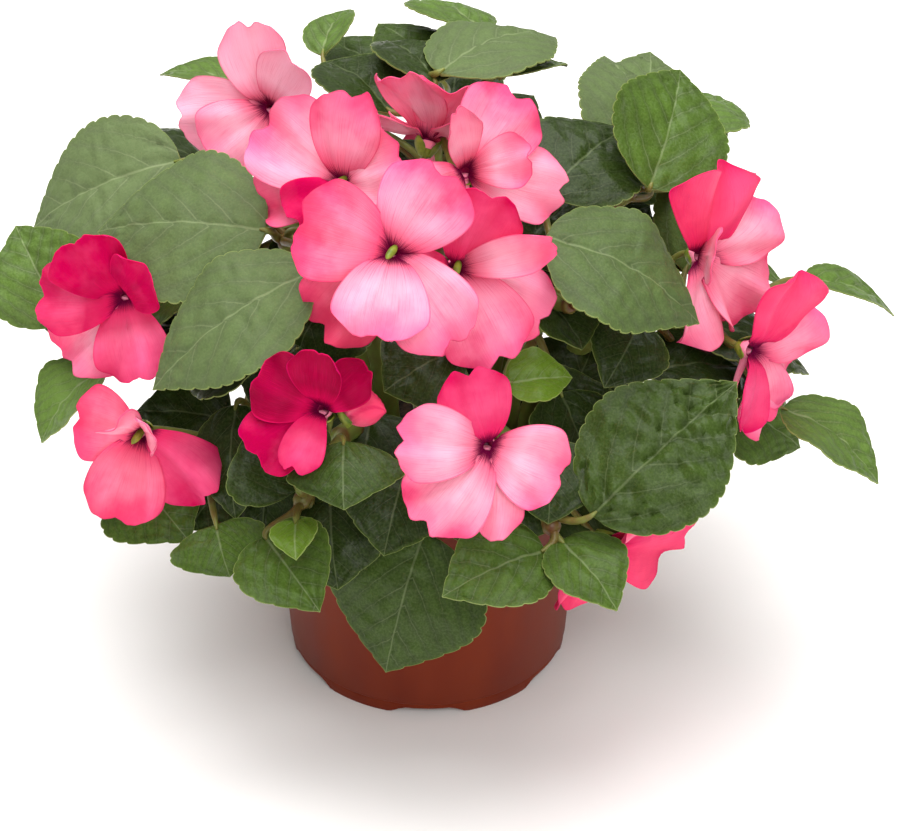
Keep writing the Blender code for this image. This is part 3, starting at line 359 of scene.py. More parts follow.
@dataclass(frozen=True)
class LeafSkin(Finish):
    """A fresh leaf's waxy skin: dull sheen, pale veins, a thin pale edge and fine speckle, with painted
    shade over its quilting and towards its edge.

    The mesh says at each point how far along the next side vein, how many mm from the
    midrib and how many mm from the edge it is, and how light, grey and young the leaf is; the grey is partly
    the leaf's own and partly a painted sheen.
    """

    name: str = "leaf_upper_skin"
    dark: str = "#0C1501"
    light: str = "#5B7E22"
    grey_and_sheen: str = "#636D50"
    young: str = "#63801A"
    vein: str = "#8E9A70"
    edge: str = "#A3B066"
    vein_share: float = 0.6
    margin_mm: float = 2.5
    rim_mm: float = 0.35
    rib_mm: float = 0.7
    vein_fade_mm: float = 24.0
    net_mm: float = 2.2
    # The skin's cells are about 0.1 mm, too fine to show, so the speckle is drawn coarser
    speck_mm: float = 0.7
    mottle_mm: float = 9.0
    roughness: float = 0.5

    def dress(self, tree: Any, shader: Any) -> None:
        """Blend the greens by the leaf's look with painted shade along the side veins and towards the edge,
        then lay the veins and the edge over them.

        Args:
            tree: the material's node tree.
            shader: its Principled BSDF.
        """
        place = node(tree, "TexCoord").outputs["Object"]
        spot, look = (node(tree, "Attribute", attribute_name=name).outputs["Vector"]
                      for name in ("spot", "look"))
        count, from_rib, from_edge = node(tree, "SeparateXYZ", (spot,)).outputs
        lightness, sheen_and_greyness, youth = node(tree, "SeparateXYZ", (look,)).outputs
        mottle = node(tree, "TexNoise", {"Vector": place, "Scale": 1000 / self.mottle_mm, "Detail": 4.0})
        speck = node(tree, "TexNoise", {"Vector": place, "Scale": 1000 / self.speck_mm, "Detail": 3.0})
        spread = node(tree, "MapRange", (mottle, 0.3, 0.7, -0.24, 0.2))
        spread = node(tree, "Math", (spread, lightness), operation="MULTIPLY")
        lit = node(tree, "Math", (lightness, spread), operation="ADD")
        side = node(tree, "Math", (count, 0.5), operation="PINGPONG")
        # Painted shade of the quilting: darker along the side veins, lighter on the swellings between them
        painted_quilt_shade = node(tree, "MapRange", (side, 0.02, 0.34, 0.76, 1.14), interpolation_type="SMOOTHSTEP")
        # Painted shade: the blade darkens over its last 7 mm towards the edge
        inner = node(tree, "MapRange", (from_edge, 0.0, 7.0, 0.78, 1.04), interpolation_type="SMOOTHSTEP")
        grain = node(tree, "MapRange", (speck, 0.35, 0.65, 0.88, 1.12))
        for share in (painted_quilt_shade, inner, grain):
            lit = node(tree, "Math", (lit, share), operation="MULTIPLY")
        green = node(tree, "Mix", {0: lit, 6: linear(self.dark), 7: linear(self.light)}, data_type="RGBA")
        # A grey that is partly the leaf's own sage tint and partly a painted sheen of the overhead light
        sheen_and_grey_share = node(tree, "Math", (sheen_and_greyness, 0.75), operation="MULTIPLY")
        dots = node(tree, "MapRange", (speck, 0.42, 0.68, 0.0, 0.06))
        side_line = node(tree, "MapRange", (side, 0.0, 0.05, 1.0, 0.0), interpolation_type="SMOOTHERSTEP")
        outward = node(tree, "MapRange", (from_rib, 0.0, self.vein_fade_mm, 0.62, 0.15))
        side_line = node(tree, "Math", (side_line, outward), operation="MULTIPLY")
        rib_line = node(tree, "MapRange", (from_rib, 0.1, self.rib_mm, 0.85, 0.0),
                        interpolation_type="SMOOTHERSTEP")
        net = node(tree, "TexVoronoi", {"Vector": place, "Scale": 1000 / self.net_mm},
                   feature="DISTANCE_TO_EDGE")
        net_line = node(tree, "MapRange", (net, 0.0, 0.12, 0.08, 0.0))
        side_line = node(tree, "Math", (side_line, net_line), operation="MAXIMUM")
        lines = node(tree, "Math", (side_line, rib_line), operation="MAXIMUM")
        share = node(tree, "MapRange", (lightness, 0.0, 0.7, 0.3 * self.vein_share, self.vein_share))
        lines = node(tree, "Math", (lines, share), operation="MULTIPLY")
        margin = node(tree, "MapRange", (from_edge, 0.0, self.margin_mm, 0.12, 0.0),
                      interpolation_type="SMOOTHSTEP")
        rim = node(tree, "MapRange", (from_edge, 0.0, self.rim_mm, 0.45, 0.0),
                   interpolation_type="SMOOTHSTEP")
        coats = ((sheen_and_grey_share, self.grey_and_sheen), (youth, self.young), (dots, self.vein),
                 (lines, self.vein), (margin, self.young), (rim, self.edge))
        for share, colour in coats:
            green = node(tree, "Mix", {0: share, 6: green, 7: linear(colour)}, data_type="RGBA")
        height = node(tree, "Math", (net, 2.0, speck), operation="MULTIPLY_ADD")
        relief = node(tree, "Bump", {"Height": height, "Strength": 0.3, "Distance": 0.0003})
        gloss = node(tree, "MapRange", (sheen_and_greyness, 0.05, 0.7, self.roughness - 0.17, self.roughness + 0.1))
        feed(tree, shader, {"Base Color": green, "Normal": relief, "Roughness": gloss, "IOR": 1.42,
                            "Specular IOR Level": 0.19})


@dataclass(frozen=True)
class StemSkin(Finish):
    """A juicy stem's skin: pale green, flushed red towards its joints, smooth and moist."""

    name: str = "stem_skin"
    pale: str = "#75883C"
    flush: str = "#66341F"
    streak_mm: float = 3.0

    def dress(self, tree: Any, shader: Any) -> None:
        """The mesh says how red each point is; long streaks break the flush up.

        Args:
            tree: the material's node tree.
            shader: its Principled BSDF.
        """
        place = node(tree, "TexCoord").outputs["Object"]
        look = node(tree, "Attribute", attribute_name="look").outputs["Vector"]
        redness, _, _ = node(tree, "SeparateXYZ", (look,)).outputs
        streaks = node(tree, "TexNoise", {"Vector": place, "Scale": 1000 / self.streak_mm, "Detail": 3.0})
        spread = node(tree, "MapRange", (streaks, 0.3, 0.7, -0.2, 0.2))
        red = node(tree, "Math", (redness, spread), operation="ADD", use_clamp=True)
        colour = node(tree, "Mix", {0: red, 6: linear(self.pale), 7: linear(self.flush)}, data_type="RGBA")
        feed(tree, shader, {"Base Color": colour, "Roughness": 0.38, "IOR": 1.4,
                            "Subsurface Weight": 0.15, "Subsurface Radius": (0.002, 0.002, 0.0008),
                            "Subsurface Scale": 1.0})


@dataclass(frozen=True)
class PetalSkin(Finish):
    """A petal's velvety skin: thin and moist, so light glows through, with fanned veins.

    The mesh says at each point how far along and across its petal it is and how many mm
    from the edge, and how deep, coral and pale-hearted the petal is.
    """

    name: str = "petal_skin"
    pink: str = "#FE6292"
    coral: str = "#FE4F76"
    deep: str = "#C4004C"
    crimson: str = "#84002C"
    blush: str = "#FFB4C8"
    eye: str = "#5E0230"
    line: str = "#DC0E58"
    mottle_mm: float = 6.25
    rim_mm: float = 0.6
    # On a petal of the usual size the veins are this wide, and waver over this length
    petal_mm: float = 28.8
    vein_mm: float = 0.3
    vein_run_mm: float = 11.25

    def dress(self, tree: Any, shader: Any) -> None:
        """Blend the pinks by the petal's look, pale the middle, and draw the fanned veins.

        Args:
            tree: the material's node tree.
            shader: its Principled BSDF.
        """
        place = node(tree, "TexCoord").outputs["Object"]
        spot, look = (node(tree, "Attribute", attribute_name=name).outputs["Vector"]
                      for name in ("spot", "look"))
        along, _, from_edge = node(tree, "SeparateXYZ", (spot,)).outputs
        deepness, warmth, paleness = node(tree, "SeparateXYZ", (look,)).outputs
        mottle = node(tree, "TexNoise", {"Vector": place, "Scale": 1000 / self.mottle_mm, "Detail": 3.0})
        fan = (self.petal_mm / self.vein_run_mm, self.petal_mm / 2 / self.vein_mm, 0.0)
        fanned = node(tree, "Mapping", {"Vector": spot, "Scale": fan})
        veins = node(tree, "TexNoise", {"Vector": fanned, "Scale": 1.0, "Detail": 4.0})
        warm = node(tree, "Mix", {0: warmth, 6: linear(self.pink), 7: linear(self.coral)}, data_type="RGBA")
        spread = node(tree, "MapRange", (mottle, 0.3, 0.7, -0.12, 0.12))
        depth = node(tree, "MapRange", (deepness, 0.45, 1.0, 0.0, 0.95))
        depth = node(tree, "Math", (depth, spread), operation="ADD", use_clamp=True)
        darker = node(tree, "MapRange", (deepness, 1.2, 2.2, 0.0, 0.9))
        faded = node(tree, "MapRange", (deepness, -0.27, 0.5, 0.95, 0.0))
        reach = node(tree, "Math", (along, spread), operation="ADD")
        middle = node(tree, "MapRange", (reach, 0.95, 0.3, 0.0, 1.0), interpolation_type="SMOOTHSTEP")
        middle = node(tree, "Math", (middle, paleness), operation="MULTIPLY")
        thin = node(tree, "MapRange", (veins, 0.5, 0.72, 0.0, 0.5))
        nearer = node(tree, "MapRange", (along, 0.1, 0.95, 1.0, 0.3))
        lines = node(tree, "Math", (thin, nearer), operation="MULTIPLY")
        rim = node(tree, "MapRange", (from_edge, 0.0, self.rim_mm, 0.55, 0.0),
                   interpolation_type="SMOOTHSTEP")
        flush = node(tree, "MapRange", (along, 0.04, 0.42, 0.7, 0.0), interpolation_type="SMOOTHSTEP")
        rays = node(tree, "MapRange", (veins, 0.3, 0.7, 0.05, -0.07))
        rooted = node(tree, "Math", (along, rays), operation="ADD")
        root = node(tree, "MapRange", (rooted, 0.02, 0.12, 1.0, 0.0), interpolation_type="SMOOTHSTEP")
        colour = warm
        for share, tone in ((depth, self.deep), (darker, self.crimson), (faded, self.blush),
                            (middle, self.blush), (lines, self.line), (rim, self.line), (flush, self.line),
                            (root, self.eye)):
            colour = node(tree, "Mix", {0: share, 6: colour, 7: linear(tone)}, data_type="RGBA")
        relief = node(tree, "Bump", {"Height": veins, "Strength": 0.5, "Distance": 0.0004})
        feed(tree, shader, {"Base Color": colour, "Normal": relief, "Roughness": 0.6,
                            "IOR": 1.38, "Specular IOR Level": 0.04, "Subsurface Weight": 0.2,
                            "Subsurface Radius": (0.003, 0.001, 0.0012), "Subsurface Scale": 1.0})


@dataclass(frozen=True)
class PlainSkin(Finish):
    """A small smooth living part of one colour that darkens in soft patches."""

    name: str = "throat_skin"
    light: str = "#A01050"
    shade: str = "#4C0628"
    patch_mm: float = 2.5

    def dress(self, tree: Any, shader: Any) -> None:
        """Soft patches take the colour from light to shade.

        Args:
            tree: the material's node tree.
            shader: its Principled BSDF.
        """
        place = node(tree, "TexCoord").outputs["Object"]
        patches = node(tree, "TexNoise", {"Vector": place, "Scale": 1000 / self.patch_mm, "Detail": 3.0})
        colour = node(tree, "ValToRGB", {"Fac": patches}, stops=((0.35, self.light), (0.7, self.shade)))
        feed(tree, shader, {"Base Color": colour, "Roughness": 0.42, "IOR": 1.4})


@dataclass(frozen=True)
class StudioPaper(Finish):
    """A seamless roll of matt white studio paper, very slightly warm."""

    name: str = "studio_paper"
    body: str = "#FCFAF8"
    # Paper fibres are too fine to show, so clumps of them are drawn
    fibre_mm: float = 3.0

    def dress(self, tree: Any, shader: Any) -> None:
        """Paper fibre shows only as a faint unevenness of the sheen.

        Args:
            tree: the material's node tree.
            shader: its Principled BSDF.
        """
        place = node(tree, "TexCoord").outputs["Object"]
        fibre = node(tree, "TexNoise", {"Vector": place, "Scale": 1000 / self.fibre_mm, "Detail": 2.0})
        sheen = node(tree, "MapRange", {"Value": fibre, 3: 0.85, 4: 0.95})
        feed(tree, shader, {"Base Color": linear(self.body), "Roughness": sheen,
                            "Specular IOR Level": 0.1})


def make_skins() -> Skins:
    """Make the living skins.

    Returns:
        The material of each skin.
    """
    return {
        Skin.LEAF_TOP: LeafSkin().make(),
        Skin.LEAF_UNDER: LeafSkin("leaf_lower_skin", dark="#28330F", light="#56692C", grey_and_sheen="#5B6642",
                                  vein="#8F9B68", vein_share=0.5, roughness=0.66).make(),
        Skin.STEM: StemSkin().make(),
        Skin.PETAL: PetalSkin().make(),
        Skin.THROAT: PlainSkin().make(),
        Skin.CAPSULE: PlainSkin("capsule_skin", light="#8C9A34", shade="#4C6418").make(),
    }


# Meshes


@dataclass
class Shape:
    """A mesh in the making, with what its skins read at each point."""

    crease_degrees: float = 62.0
    points: list[Points] = field(default_factory=list)
    faces: Faces = field(default_factory=list)
    skins: list[Skin] = field(default_factory=list)
    spots: list[Points] = field(default_factory=list)
    looks: list[Points] = field(default_factory=list)
    count: int = 0

    def add(self, points: Points, faces: Faces, skins: list[Skin], spots: Any, looks: Any) -> None:
        """Add a closed solid.

        Args:
            points: its points in mm.
            faces: its faces, by the numbers of its points.
            skins: one skin for each face, or one for all.
            spots: where on its blade or petal each point is, or one for all.
            looks: the tint at each point, or one for all.
        """
        self.points.append(points)
        self.faces += [tuple(self.count + k for k in face) for face in faces]
        self.skins += skins * (len(faces) if len(skins) == 1 else 1)
        self.spots.append(np.broadcast_to(spots, points.shape))
        self.looks.append(np.broadcast_to(looks, points.shape))
        self.count += len(points)

    def add_stem(self, path: Points, radii: Any, sides: int, red: Any) -> None:
        """Add a round stem or stalk.

        Args:
            path: the points along its middle.
            radii: its radius at each of them.
            sides: how many sides it has.
            red: how red it is at each of them, from 0 to 1.
        """
        points, faces = tube(path, radii, sides)
        looks = np.repeat(red, sides)[:, None] * np.ones(3)
        self.add(points, faces, [Skin.STEM], 0.0, looks)

    def piece(self, name: str, materials: Skins, shift: Points) -> bpy.types.Object:
        """Make the mesh into an object.

        Args:
            name: the object's name.
            materials: the material of each skin.
            shift: where the pot's centre is in the frame, in mm.

        Returns:
            The object, in the scene.
        """
        mesh = bpy.data.meshes.new(name)
        mesh.from_pydata((np.vstack(self.points) + shift) * MM, [], self.faces)
        used = sorted(set(self.skins), key=lambda skin: skin.value)
        for skin in used:
            mesh.materials.append(materials[skin])
        numbers = [used.index(skin) for skin in self.skins]
        mesh.polygons.foreach_set("material_index", numbers)
        for attribute, values in (("spot", self.spots), ("look", self.looks)):
            layer = mesh.attributes.new(attribute, "FLOAT_VECTOR", "POINT")
            layer.data.foreach_set("vector", np.vstack(values).astype(np.float32).ravel())
        mesh.shade_smooth()
        mesh.set_sharp_from_angle(angle=math.radians(self.crease_degrees))
        made = bpy.data.objects.new(name, mesh)
        bpy.context.scene.collection.objects.link(made)
        return made


def sheet_grid(rows: int, columns: int) -> list[np.ndarray]:
    """Return how far along, from 0 to 1, and across, from -1 to 1, a sheet's points are."""
    return np.meshgrid(np.linspace(0.0, 1.0, rows), np.linspace(-1.0, 1.0, columns), indexing="ij")


def closed_sheet(upper: Points, lower: Points) -> tuple[Points, Faces, int]:
    """Close two grids of points into a thin solid.

    Args:
        upper: rows of points of the upper face.
        lower: the same points of the lower face.

    Returns:
        The points, the faces and how many of the faces are of the upper side.
    """
    rows, columns = upper.shape[:2]
    number = np.arange(rows * columns).reshape(rows, columns)
    quads = np.stack((number[:-1, :-1], number[1:, :-1], number[1:, 1:], number[:-1, 1:]), axis=-1)
    top = [tuple(quad) for quad in quads.reshape(-1, 4).tolist()]
    under = rows * columns
    faces = top + [tuple(k + under for k in reversed(quad)) for quad in top]
    ring = np.concatenate((number[:, 0], number[-1, 1:], number[-2::-1, -1], number[0, -2:0:-1])).tolist()
    for a, b in zip(ring, ring[1:] + ring[:1]):
        faces.append((b, a, a + under, b + under))
    points = np.vstack((upper.reshape(-1, 3), lower.reshape(-1, 3)))
    return points, faces, len(top)


def ring_faces(rings: int, sides: int) -> Faces:
    """Join rings of points into a closed solid.

    Args:
        rings: how many rings there are.
        sides: how many points each has.

    Returns:
        The faces, with the first and last ring closed.
    """
    faces: Faces = [tuple(reversed(range(sides)))]
    for start in range(0, (rings - 1) * sides, sides):
        for k in range(sides):
            a, b = start + k, start + (k + 1) % sides
            faces.append((a, b, b + sides, a + sides))
    last = (rings - 1) * sides
    faces.append(tuple(range(last, last + sides)))
    return faces


def turned(stations: Any, sides: int) -> tuple[Points, Faces]:
    """Turn an outline about Z, also one that folds back into itself.

    Args:
        stations: the radius and height of each of the outline's corners.
        sides: how many sides the solid has.

    Returns:
        Its points, ring by ring, and its faces.
    """
    turns = np.arange(sides) * 2 * math.pi / sides
    ring = np.stack((np.cos(turns), np.sin(turns), np.zeros(sides)), axis=-1)
    points = np.vstack([np.array((0.0, 0.0, height)) + ring * radius for radius, height in stations])
    return points, ring_faces(len(stations), sides)


def tube(path: Points, radii: Any, sides: int) -> tuple[Points, Faces]:
    """Sweep a circle along a path into a closed tube.

    Args:
        path: the points along its middle.
        radii: its radius at each of them, or one for all.
        sides: how many sides it has.

    Returns:
        Its points, ring by ring, and its faces.
    """
    path = np.asarray(path, float)
    radii = np.broadcast_to(radii, len(path))
    along = unit(np.gradient(path, axis=0))
    level = np.array((1.0, 0.0, 0.0)) if abs(along[0][2]) > 0.9 else np.array((0.0, 0.0, 1.0))
    across = unit(np.cross(along[0], level))
    turns = np.arange(sides) * 2 * math.pi / sides
    rings = []
    for centre, ahead, radius in zip(path, along, radii):
        across = unit(across - ahead * (across @ ahead))
        third = np.cross(ahead, across)
        rings.append(centre + radius * (np.cos(turns)[:, None] * across + np.sin(turns)[:, None] * third))
    return np.vstack(rings), ring_faces(len(path), sides)


# Places


@dataclass(frozen=True)
class Seen:
    """A place read off the photograph: its pixel, and how far it stands in front of the aim."""

    across: float
    down: float
    near: float

    def place(self) -> Points:
        """Turn the pixel and the nearness to a place.

        Returns:
            The place in mm.
        """
        scale = (VIEW_DISTANCE - self.near) / VIEW_FOCAL_PIXELS
        right = VIEW_RIGHT * (self.across - PHOTO_WIDTH / 2) * scale
        rise = VIEW_UP * (PHOTO_HEIGHT / 2 - self.down) * scale
        return VIEW_AIM + right + rise - VIEW_INTO * self.near


@dataclass(frozen=True)
class Place:
    """A place given in mm."""

    x: float
    y: float
    z: float

    def place(self) -> Points:
        """Return the place in mm."""
        return np.array((self.x, self.y, self.z))


@dataclass(frozen=True)
class Leaf:
    """A blade on a stalk that leaves its stem at a fraction of the stem's length."""

    at: float
    base: Seen | Place
    tip: Seen | Place
    width: float
    fold: float = -0.1
    wave: float = 0.03
    arch: float = 0.1
    face: float = 0.0
    green: Green = Green.DARK
    quilt: float = 1.0


@dataclass(frozen=True)
class Petal:
    """Its angle round the throat and size, then the sheet's lift, curl, cup and twist."""

    angle: float
    length: float
    width: float
    lift: float
    curl: float
    cup: float = 0.1
    twist: float = 0.0
    tint: Tint = Tint.ROSE
    ruffle: float = 1.0


@dataclass(frozen=True)
class Bloom:
    """A bloom on its shoot, where its throat is and which way it faces, in degrees."""

    name: str
    shoot: str
    at: float
    centre: Seen | Place
    azimuth: float
    elevation: float
    petals: tuple[Petal, ...]
    capsule: float = 5.5
    eye: float = 0.0


@dataclass(frozen=True)
class Bud:
    """A closed bud on its shoot."""

    name: str
    shoot: str
    at: float
    centre: Seen
    azimuth: float
    elevation: float
    length: float
    width: float


@dataclass(frozen=True)
class HiddenBloom:
    """Where a bloom at the back is sought: its bearing, reach from the middle and height."""

    name: str
    shoot: str
    bearing: float
    reach: float
    height: float


@dataclass(frozen=True)
class HiddenLeaves:
    """How many leaves a shoot has out of sight, their outward bearing and its spread."""

    shoot: str
    count: int
    bearing: float
    spread: float


# Each stem from where it leaves the soil to its tip
STEMS: dict[str, tuple] = {
    "front_right": ((16, -24, 80), (20, -34, 102), (30, -56, 107), (38, -76, 95)),
    "front_left": ((-16, -22, 80), (-20, -32, 102), (-28, -50, 109), (-38, -67, 98)),
    "front": ((0, -16, 80), (0, -26, 106), (-2, -48, 128), (0, -64, 126)),
    "mid_right": ((24, -6, 82), (28, -12, 112), (36, -22, 140), (44, -30, 146)),
    "upper_right": ((18, 10, 82), (24, 12, 112), (44, 12, 146), (64, 14, 160)),
    "right": ((32, 6, 80), (40, 4, 102), (62, 0, 120), (86, -4, 124)),
    "top": ((2, 12, 84), (2, 18, 122), (2, 28, 160), (0, 42, 182)),
    "upper_left": ((-12, -2, 82), (-16, -4, 115), (-32, -8, 148), (-44, -12, 158)),
    "left": ((-32, 4, 80), (-42, 2, 102), (-66, -4, 116), (-92, -10, 116)),
    "lower_left": ((-28, -14, 80), (-36, -20, 98), (-50, -28, 102), (-62, -34, 95)),
    "back_left": ((-20, 22, 80), (-26, 28, 104), (-42, 50, 122), (-58, 66, 126)),
    "back": ((2, 30, 80), (2, 38, 104), (4, 62, 122), (4, 84, 126)),
    "back_right": ((22, 24, 80), (28, 30, 104), (44, 48, 124), (60, 62, 130)),
}

LEAVES: dict[str, tuple[Leaf, ...]] = {
    "front_right": (
        Leaf(0.85, Seen(592, 516, 74), Seen(737, 382, 62), 45, fold=-0.06, green=Green.DEEP, quilt=3.0),
        Leaf(1.0, Seen(546, 550, 70), Seen(442, 597, 84), 30, fold=0.15, arch=0.12, green=Green.FRESH),
        Leaf(0.97, Seen(560, 540, 68), Seen(617, 611, 80), 26, fold=0.1, green=Green.FRESH),
        Leaf(0.6, Seen(548, 440, 70), Seen(548, 524, 72), 34, fold=0.1, wave=0.04),
    ),
    "front_left": (
        Leaf(0.9, Seen(298, 490, 68), Seen(252, 426, 66), 34, fold=0.25),
        Leaf(0.85, Seen(344, 440, 90), Seen(344, 510, 98), 34, fold=-0.3, wave=0.0, green=Green.DEEP),
        Leaf(1.0, Seen(264, 536, 62), Seen(320, 612, 76), 30, fold=0.3, wave=0.06, green=Green.FRESH),
        Leaf(0.95, Seen(296, 520, 74), Seen(296, 560, 84), 14, fold=0.2, wave=0.0, green=Green.YOUNG),
        Leaf(0.8, Seen(318, 524, 58), Seen(372, 520, 56), 22, fold=0.1, wave=0.0, green=Green.YOUNG),
        Leaf(0.45, Seen(372, 412, 40), Seen(362, 500, 48), 42, wave=0.04, arch=0.12),
        Leaf(0.6, Seen(330, 500, 60), Seen(338, 590, 64), 36, wave=0.04, arch=0.12),
    ),
    "front": (
        Leaf(0.6, Seen(424, 532, 58), Seen(386, 672, 40), 50, wave=0.02, arch=0.08, green=Green.DEEP),
        Leaf(0.8, Seen(456, 350, 70), Seen(384, 392, 76), 38),
        Leaf(0.9, Seen(408, 462, 74), Seen(384, 556, 76), 32, fold=0.1),
        Leaf(0.55, Seen(492, 470, 54), Seen(484, 560, 62), 42, wave=0.04, arch=0.12),
    ),
    "mid_right": (
        Leaf(0.95, Seen(548, 194, 48), Seen(628, 130, 19), 38, arch=0.12),
        Leaf(1.0, Seen(546, 236, 72), Seen(699, 324, 60), 46, wave=0.05, arch=0.12, face=0.15,
             green=Green.SHADED_SAGE),
        Leaf(0.7, Seen(640, 322, 40), Seen(604, 388, 54), 26, fold=0.1),
        Leaf(0.6, Seen(506, 384, 66), Seen(572, 378, 62), 18, fold=0.2, wave=0.05, green=Green.YOUNG),
        Leaf(0.65, Seen(547, 298, 51), Seen(582, 350, 56), 27, fold=0.2, wave=0.05),
        Leaf(0.5, Seen(560, 392, 42), Seen(588, 500, 44), 36, fold=0.1, wave=0.04, arch=0.12),
    ),
    "upper_right": (
        Leaf(0.9, Seen(652, 190, 16), Seen(604, 56, -30), 44, fold=-0.15, wave=0.04, arch=0.12,
             green=Green.SAGE),
        Leaf(1.0, Seen(650, 188, 46), Seen(680, 70, 16), 38, fold=0.1, arch=0.08, green=Green.FRESH),
        Leaf(0.85, Seen(676, 118, -8), Seen(734, 104, -34), 34, green=Green.GRASS),
    ),
    "right": (
        Leaf(0.75, Seen(648, 372, 26), Seen(752, 372, 6), 36),
        Leaf(0.95, Seen(782, 408, 16), Seen(878, 484, 18), 34, fold=0.1, wave=0.04, arch=0.12,
             green=Green.GRASS),
        Leaf(1.0, Seen(806, 278, -8), Seen(894, 316, -26), 20, fold=0.1, wave=0.0, green=Green.GRASS),
    ),
    "top": (
        Leaf(0.55, Seen(232, 82, -4), Seen(160, 75, -14), 24, fold=0.1, wave=0.0, green=Green.GRASS),
        Leaf(0.75, Seen(322, 54, 0), Seen(348, 10, -20), 17, fold=0.15, wave=0.0, green=Green.GRASS),
        Leaf(0.88, Seen(390, 112, 30), Seen(326, 62, 10), 36, fold=0.2, wave=0.0),
        Leaf(0.93, Seen(436, 82, 28), Seen(384, 42, 6), 30, fold=0.1, wave=0.0),
        Leaf(1.0, Seen(440, 72, 30), Seen(556, 38, -4), 40, arch=0.12, face=0.2, green=Green.SAGE),
        Leaf(0.95, Seen(478, 26, -12), Seen(412, 2, -34), 34, wave=0.0, green=Green.GRASS),
        Leaf(0.8, Seen(498, 76, 14), Seen(567, 66, -4), 24, fold=0.1, wave=0.0, green=Green.GRASS),
    ),
    "upper_left": (
        Leaf(1.0, Seen(266, 230, 62), Seen(98, 232, 34), 50, fold=-0.12, face=0.5, green=Green.SAGE),
        Leaf(0.9, Seen(314, 270, 80), Seen(153, 390, 66), 43, fold=-0.08, wave=0.05, face=0.15,
             green=Green.SAGE),
        Leaf(0.8, Seen(180, 160, 27), Seen(34, 228, -2), 42, fold=0.1, wave=0.0, face=0.6, green=Green.MIST),
        Leaf(0.6, Seen(266, 350, 56), Seen(186, 384, 40), 32, fold=0.1),
    ),
    "left": (
        Leaf(0.9, Seen(66, 322, 30), Seen(16, 226, 20), 34, fold=0.1, wave=0.0, green=Green.GRASS),
        Leaf(1.0, Seen(104, 368, 30), Seen(42, 443, 30), 32, fold=0.2, wave=0.04, arch=0.12,
             green=Green.MEADOW),
    ),
    "lower_left": (
        Leaf(0.6, Seen(236, 404, 48), Seen(236, 520, 50), 28),
        Leaf(1.0, Seen(216, 524, 50), Seen(230, 577, 54), 30, fold=0.1, wave=0.04, green=Green.FRESH),
        Leaf(0.9, Seen(128, 466, 18), Seen(190, 542, 30), 36, arch=0.12, green=Green.FRESH),
        Leaf(0.65, Seen(282, 440, 44), Seen(262, 540, 48), 40, wave=0.04, arch=0.12),
        Leaf(0.5, Seen(300, 346, 36), Seen(254, 410, 38), 34, fold=0.1, wave=0.04, arch=0.12),
    ),
}

# Dark leaves deep inside, of which only patches show between the others
INNER_LEAVES: dict[str, tuple[Leaf, ...]] = {
    "mid_right": (
        Leaf(0.5, Seen(512, 320, 26), Seen(560, 240, 14), 34, face=0.5),
        Leaf(0.4, Seen(560, 416, 16), Seen(600, 330, 6), 36, face=0.5),
        Leaf(0.7, Seen(516, 256, 22), Seen(584, 186, 8), 38, face=0.5),
    ),
    "front_right": (
        Leaf(0.4, Seen(556, 430, 26), Seen(620, 396, 20), 34, face=0.5),
        Leaf(0.6, Seen(560, 486, 30), Seen(640, 544, 32), 34, face=0.4, green=Green.DEEP),
    ),
    "upper_left": (
        Leaf(0.4, Seen(332, 290, 24), Seen(292, 372, 26), 40, face=0.5),
        Leaf(0.6, Seen(330, 250, 20), Seen(262, 300, 20), 34, face=0.4),
        Leaf(0.6, Place(-40, 20, 146), Place(-66, 52, 126), 36, green=Green.DEEP),
    ),
    "left": (
        Leaf(0.45, Seen(230, 420, -6), Seen(136, 412, -16), 34, face=0.5),
    ),
    "lower_left": (Leaf(0.5, Seen(250, 460, 20), Seen(188, 530, 24), 36, face=0.5),),
    "right": (Leaf(0.7, Seen(720, 402, -6), Seen(800, 448, -14), 32, face=0.5, green=Green.GRASS),),
    "upper_right": (
        Leaf(0.5, Seen(572, 250, 0), Seen(650, 206, -14), 36, face=0.4),
        Leaf(0.8, Seen(640, 150, -14), Seen(650, 52, -40), 40, face=0.4, green=Green.SAGE),
        Leaf(0.4, Place(28, 20, 130), Place(12, 48, 112), 26),
    ),
    "top": (
        Leaf(0.6, Seen(450, 210, 10), Seen(398, 140, 4), 34, face=0.5),
        Leaf(0.65, Seen(470, 150, -6), Seen(534, 96, -20), 34, face=0.4),
        Leaf(0.75, Seen(406, 92, -10), Seen(322, 40, -30), 30, face=0.4, green=Green.DEEP),
        Leaf(0.85, Seen(442, 80, -14), Seen(378, 24, -34), 28, face=0.4, green=Green.DEEP),
        Leaf(0.45, Place(-14, 38, 148), Place(-34, 64, 140), 28),
        Leaf(0.5, Place(20, 44, 144), Place(26, 86, 142), 32, green=Green.DEEP),
    ),
    "back": (
        Leaf(0.2, Place(4, 52, 110), Place(22, 84, 94), 26),
        Leaf(0.25, Place(16, 60, 120), Place(26, 98, 104), 34, green=Green.DEEP),
    ),
}

